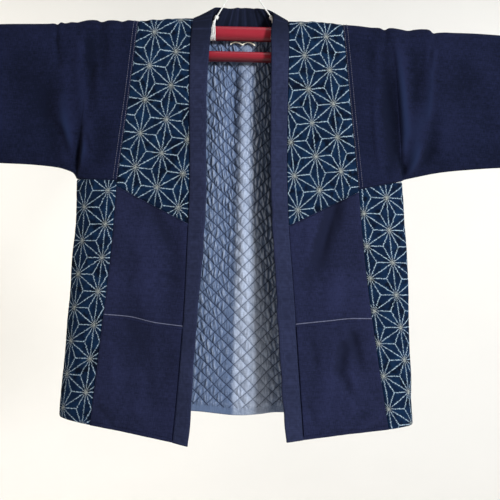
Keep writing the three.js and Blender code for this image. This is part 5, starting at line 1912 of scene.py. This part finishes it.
class JACKET_OT_topstitching(Operator):
    """Stitch the rows at the armholes, the pockets, the cuffs and the hems"""

    bl_idname = "jacket.topstitching"
    bl_label = "Topstitch"

    def execute(self, context):
        pitch = context.scene.jacket.stitch / MM
        for side in SIDES:
            sleeve, pocket, front = sleeve_surface(side), pocket_surface(side), front_surface(side)
            armhole = ((sleeve, "first", 1.5, 4), (sleeve, "first", 7.6, 4))
            self.rows(f"armhole_stitches_{side.name}", armhole, pitch, 0.42, "topstitch_thread")
            edges = (
                (sleeve, "last", 9.0, 2),
                (pocket, "top", 5.0, 3),
                (pocket, "bottom", 7.5, 3),
                (front, "top", 2.2, 3),
            )
            self.rows(f"edge_stitches_{side.name}", edges, pitch, 0.3, "seam_thread")
            # painted shadow: the collar's seam rows are thick, almost unbroken dark thread, stitches that
            # also stand for the seam's shadow
            seam = [(cloth, "first", 1.3, 3) for cloth in (yoke_surface(side), front, pocket)]
            self.rows(f"collar_seam_{side.name}", seam, pitch, 0.75, "seam_thread", 0.97)
        self.rows("hem_stitches", ((back_surface(), "bottom", 8.0, 3),), pitch, 0.3, "seam_thread")
        return {"FINISHED"}

    def rows(self, name, places, pitch, radius, thread, shown=0.66):
        """One piece from rows of stitches. places holds, for each, its cloth, the edge that it follows, its
        distance from that edge, and how many lines of the grid it leaves out at both ends."""
        bodies = []
        for cloth, edge, distance, left_out in places:
            path, normals = beside(cloth, edge, distance)
            part = slice(left_out, -left_out)
            bodies.append(stitch_rows(path[part], normals[part], pitch, shown, radius))
        add_piece(name, joined_mesh(name, bodies), "navy_cotton", looks=(thread,))


LOOP_STANDS = 6.5  # how far the loop's tape stands before the lining
LOOP_ROUTE = table(
    "x z",
    (-20, -124),
    (-17.5, -121.4),
    (-10, -119.6),
    (-2, -121.4),
    (3, -124.2),
    (6, -121.8),
    (13, -119.2),
    (21, -121.2),
    (27, -125.4),
)


class JACKET_OT_loop(Operator):
    """Sew the cream hanger loop to the back of the neck"""

    bl_idname = "jacket.loop"
    bl_label = "Sew Hanger Loop"

    def execute(self, context):
        x, z = LOOP_ROUTE["x"], LOOP_ROUTE["z"]
        face = back_y(x, z) - BACK_CLOTH - 2 * SEAM - LINING - LOOP_STANDS
        path = smooth_path(points(x, face, z), 0.4)
        add_body("loop_tape", "cream_tape", "hanger_loop", twisted(path, 1.5, 4.5, (0, 1, 0), 14))
        return {"FINISHED"}


# The stage in metres: the floor's height, the backdrop's distance, half its width and the bend between them.
FLOOR_Z = -1.95
BACK_Y = 3.4
STAGE_HALF = 4.5
STAGE_BEND = 0.9
JACKET_MIDDLE = (0, 0, -0.45)


class JACKET_OT_stage(Operator):
    """Set the floor, the backdrop and the lights"""

    bl_idname = "jacket.stage"
    bl_label = "Set Stage"

    def execute(self, context):
        stage = context.scene.jacket_stage
        self.backdrop(context, stage.room)
        washes = (1.12 * stage.wash_power, 0.86 * stage.wash_power)
        lights = (
            ("key", (2.6, -3.0, 0.6), JACKET_MIDDLE, 0.8, stage.key_power, (0.9, 0.955, 1.0)),
            ("fill", (-3.0, -2.2, 0.0), JACKET_MIDDLE, 1.8, stage.fill_power, (1.0, 0.95, 0.88)),
            ("top", (0.3, -0.6, 1.7), JACKET_MIDDLE, 1.0, stage.top_power, (1.0, 1.0, 1.0)),
            ("wash", (-2.8, 1.3, 0.4), (-1.0, BACK_Y, -0.6), 2.0, washes[0], (1.0, 0.965, 0.89)),
            ("wash", (2.8, 1.3, 0.4), (1.0, BACK_Y, -0.6), 2.0, washes[1], (1.0, 1.0, 1.0)),
            ("rear", (-1.9, 2.4, 0.8), JACKET_MIDDLE, 1.4, stage.rear_power, (1.0, 0.98, 0.94)),
        )
        for light in lights:
            self.light(context, *light)
        world = bpy.data.worlds.new("room")
        world.use_nodes = True
        sky = world.node_tree.nodes["Background"]
        sky.inputs["Color"].default_value = (1.0, 0.97, 0.91, 1)
        sky.inputs["Strength"].default_value = stage.sky
        context.scene.world = world
        context.scene.view_settings.view_transform = "Standard"
        return {"FINISHED"}

    def backdrop(self, context, room):
        """The floor and the wall, one sheet with a quarter circle between them."""
        bend = np.radians(np.linspace(0, 90, 13))
        y = np.concatenate([[-STAGE_HALF], BACK_Y - STAGE_BEND + STAGE_BEND * np.sin(bend), [BACK_Y]])
        z = np.concatenate([[FLOOR_Z], FLOOR_Z + STAGE_BEND - STAGE_BEND * np.cos(bend), [STAGE_HALF]])
        x = np.array([-STAGE_HALF, STAGE_HALF])
        mesh = make_mesh("backdrop", points(x[None], y[:, None], z[:, None]) / MM, [grid_quads(len(y), 2)])
        paint = Finish("room_paint")
        mottle = paint.noise(paint.own_space(), 1.5, 4)
        paint.set(Base_Color=paint.blend(mottle, [0.93 * part for part in room], room), Roughness=0.9)
        mesh.materials.append(paint.material)
        backdrop = bpy.data.objects.new("backdrop", mesh)
        context.scene.collection.objects.link(backdrop)

    def light(self, context, name, place, aim, size, watts, shade):
        """A square light at a place, turned towards its aim."""
        data = bpy.data.lights.new(name, "AREA")
        data.size = size
        data.energy = watts
        data.color = shade
        lamp = bpy.data.objects.new(name, data)
        lamp.visible_camera = False
        context.scene.collection.objects.link(lamp)
        x, y, z = np.array(aim) - place
        lamp.location = place
        lamp.rotation_euler = (np.arctan2(np.hypot(x, y), -z), 0, np.arctan2(-x, y))


STEPS = (
    JACKET_OT_finishes,
    JACKET_OT_camera,
    JACKET_OT_hanger,
    JACKET_OT_cord,
    JACKET_OT_back,
    JACKET_OT_lining,
    JACKET_OT_fronts,
    JACKET_OT_pockets,
    JACKET_OT_side_panels,
    JACKET_OT_sleeves,
    JACKET_OT_collar,
    JACKET_OT_topstitching,
    JACKET_OT_loop,
    JACKET_OT_stage,
)


class JACKET_PT_sidebar(Panel):
    """The jacket's pieces and what can be changed about them"""

    bl_idname = "JACKET_PT_sidebar"
    bl_label = "Quilted Jacket"
    bl_space_type = "VIEW_3D"
    bl_region_type = "UI"
    bl_category = "Jacket"

    def draw(self, context):
        """A column for each group's settings."""
        for group in (context.scene.jacket, context.scene.jacket_hanger, context.scene.jacket_stage):
            column = self.layout.column(align=True)
            for key in group.__annotations__:
                column.prop(group, key)
        for step in STEPS:
            self.layout.operator(step.bl_idname)


CLASSES = (JacketProperties, HangerProperties, StageProperties, *STEPS, JACKET_PT_sidebar)


def register():
    """Register the classes and give the scene their settings."""
    for cls in CLASSES:
        bpy.utils.register_class(cls)
    bpy.types.Scene.jacket = PointerProperty(type=JacketProperties)
    bpy.types.Scene.jacket_hanger = PointerProperty(type=HangerProperties)
    bpy.types.Scene.jacket_stage = PointerProperty(type=StageProperties)


def unregister():
    """Take away what register adds."""
    del bpy.types.Scene.jacket_stage
    del bpy.types.Scene.jacket_hanger
    del bpy.types.Scene.jacket
    for cls in reversed(CLASSES):
        bpy.utils.unregister_class(cls)


def main():
    """Register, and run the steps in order."""
    register()
    for step in STEPS:
        group, name = step.bl_idname.split(".")
        getattr(getattr(bpy.ops, group), name)()


if __name__ == "__main__":
    main()
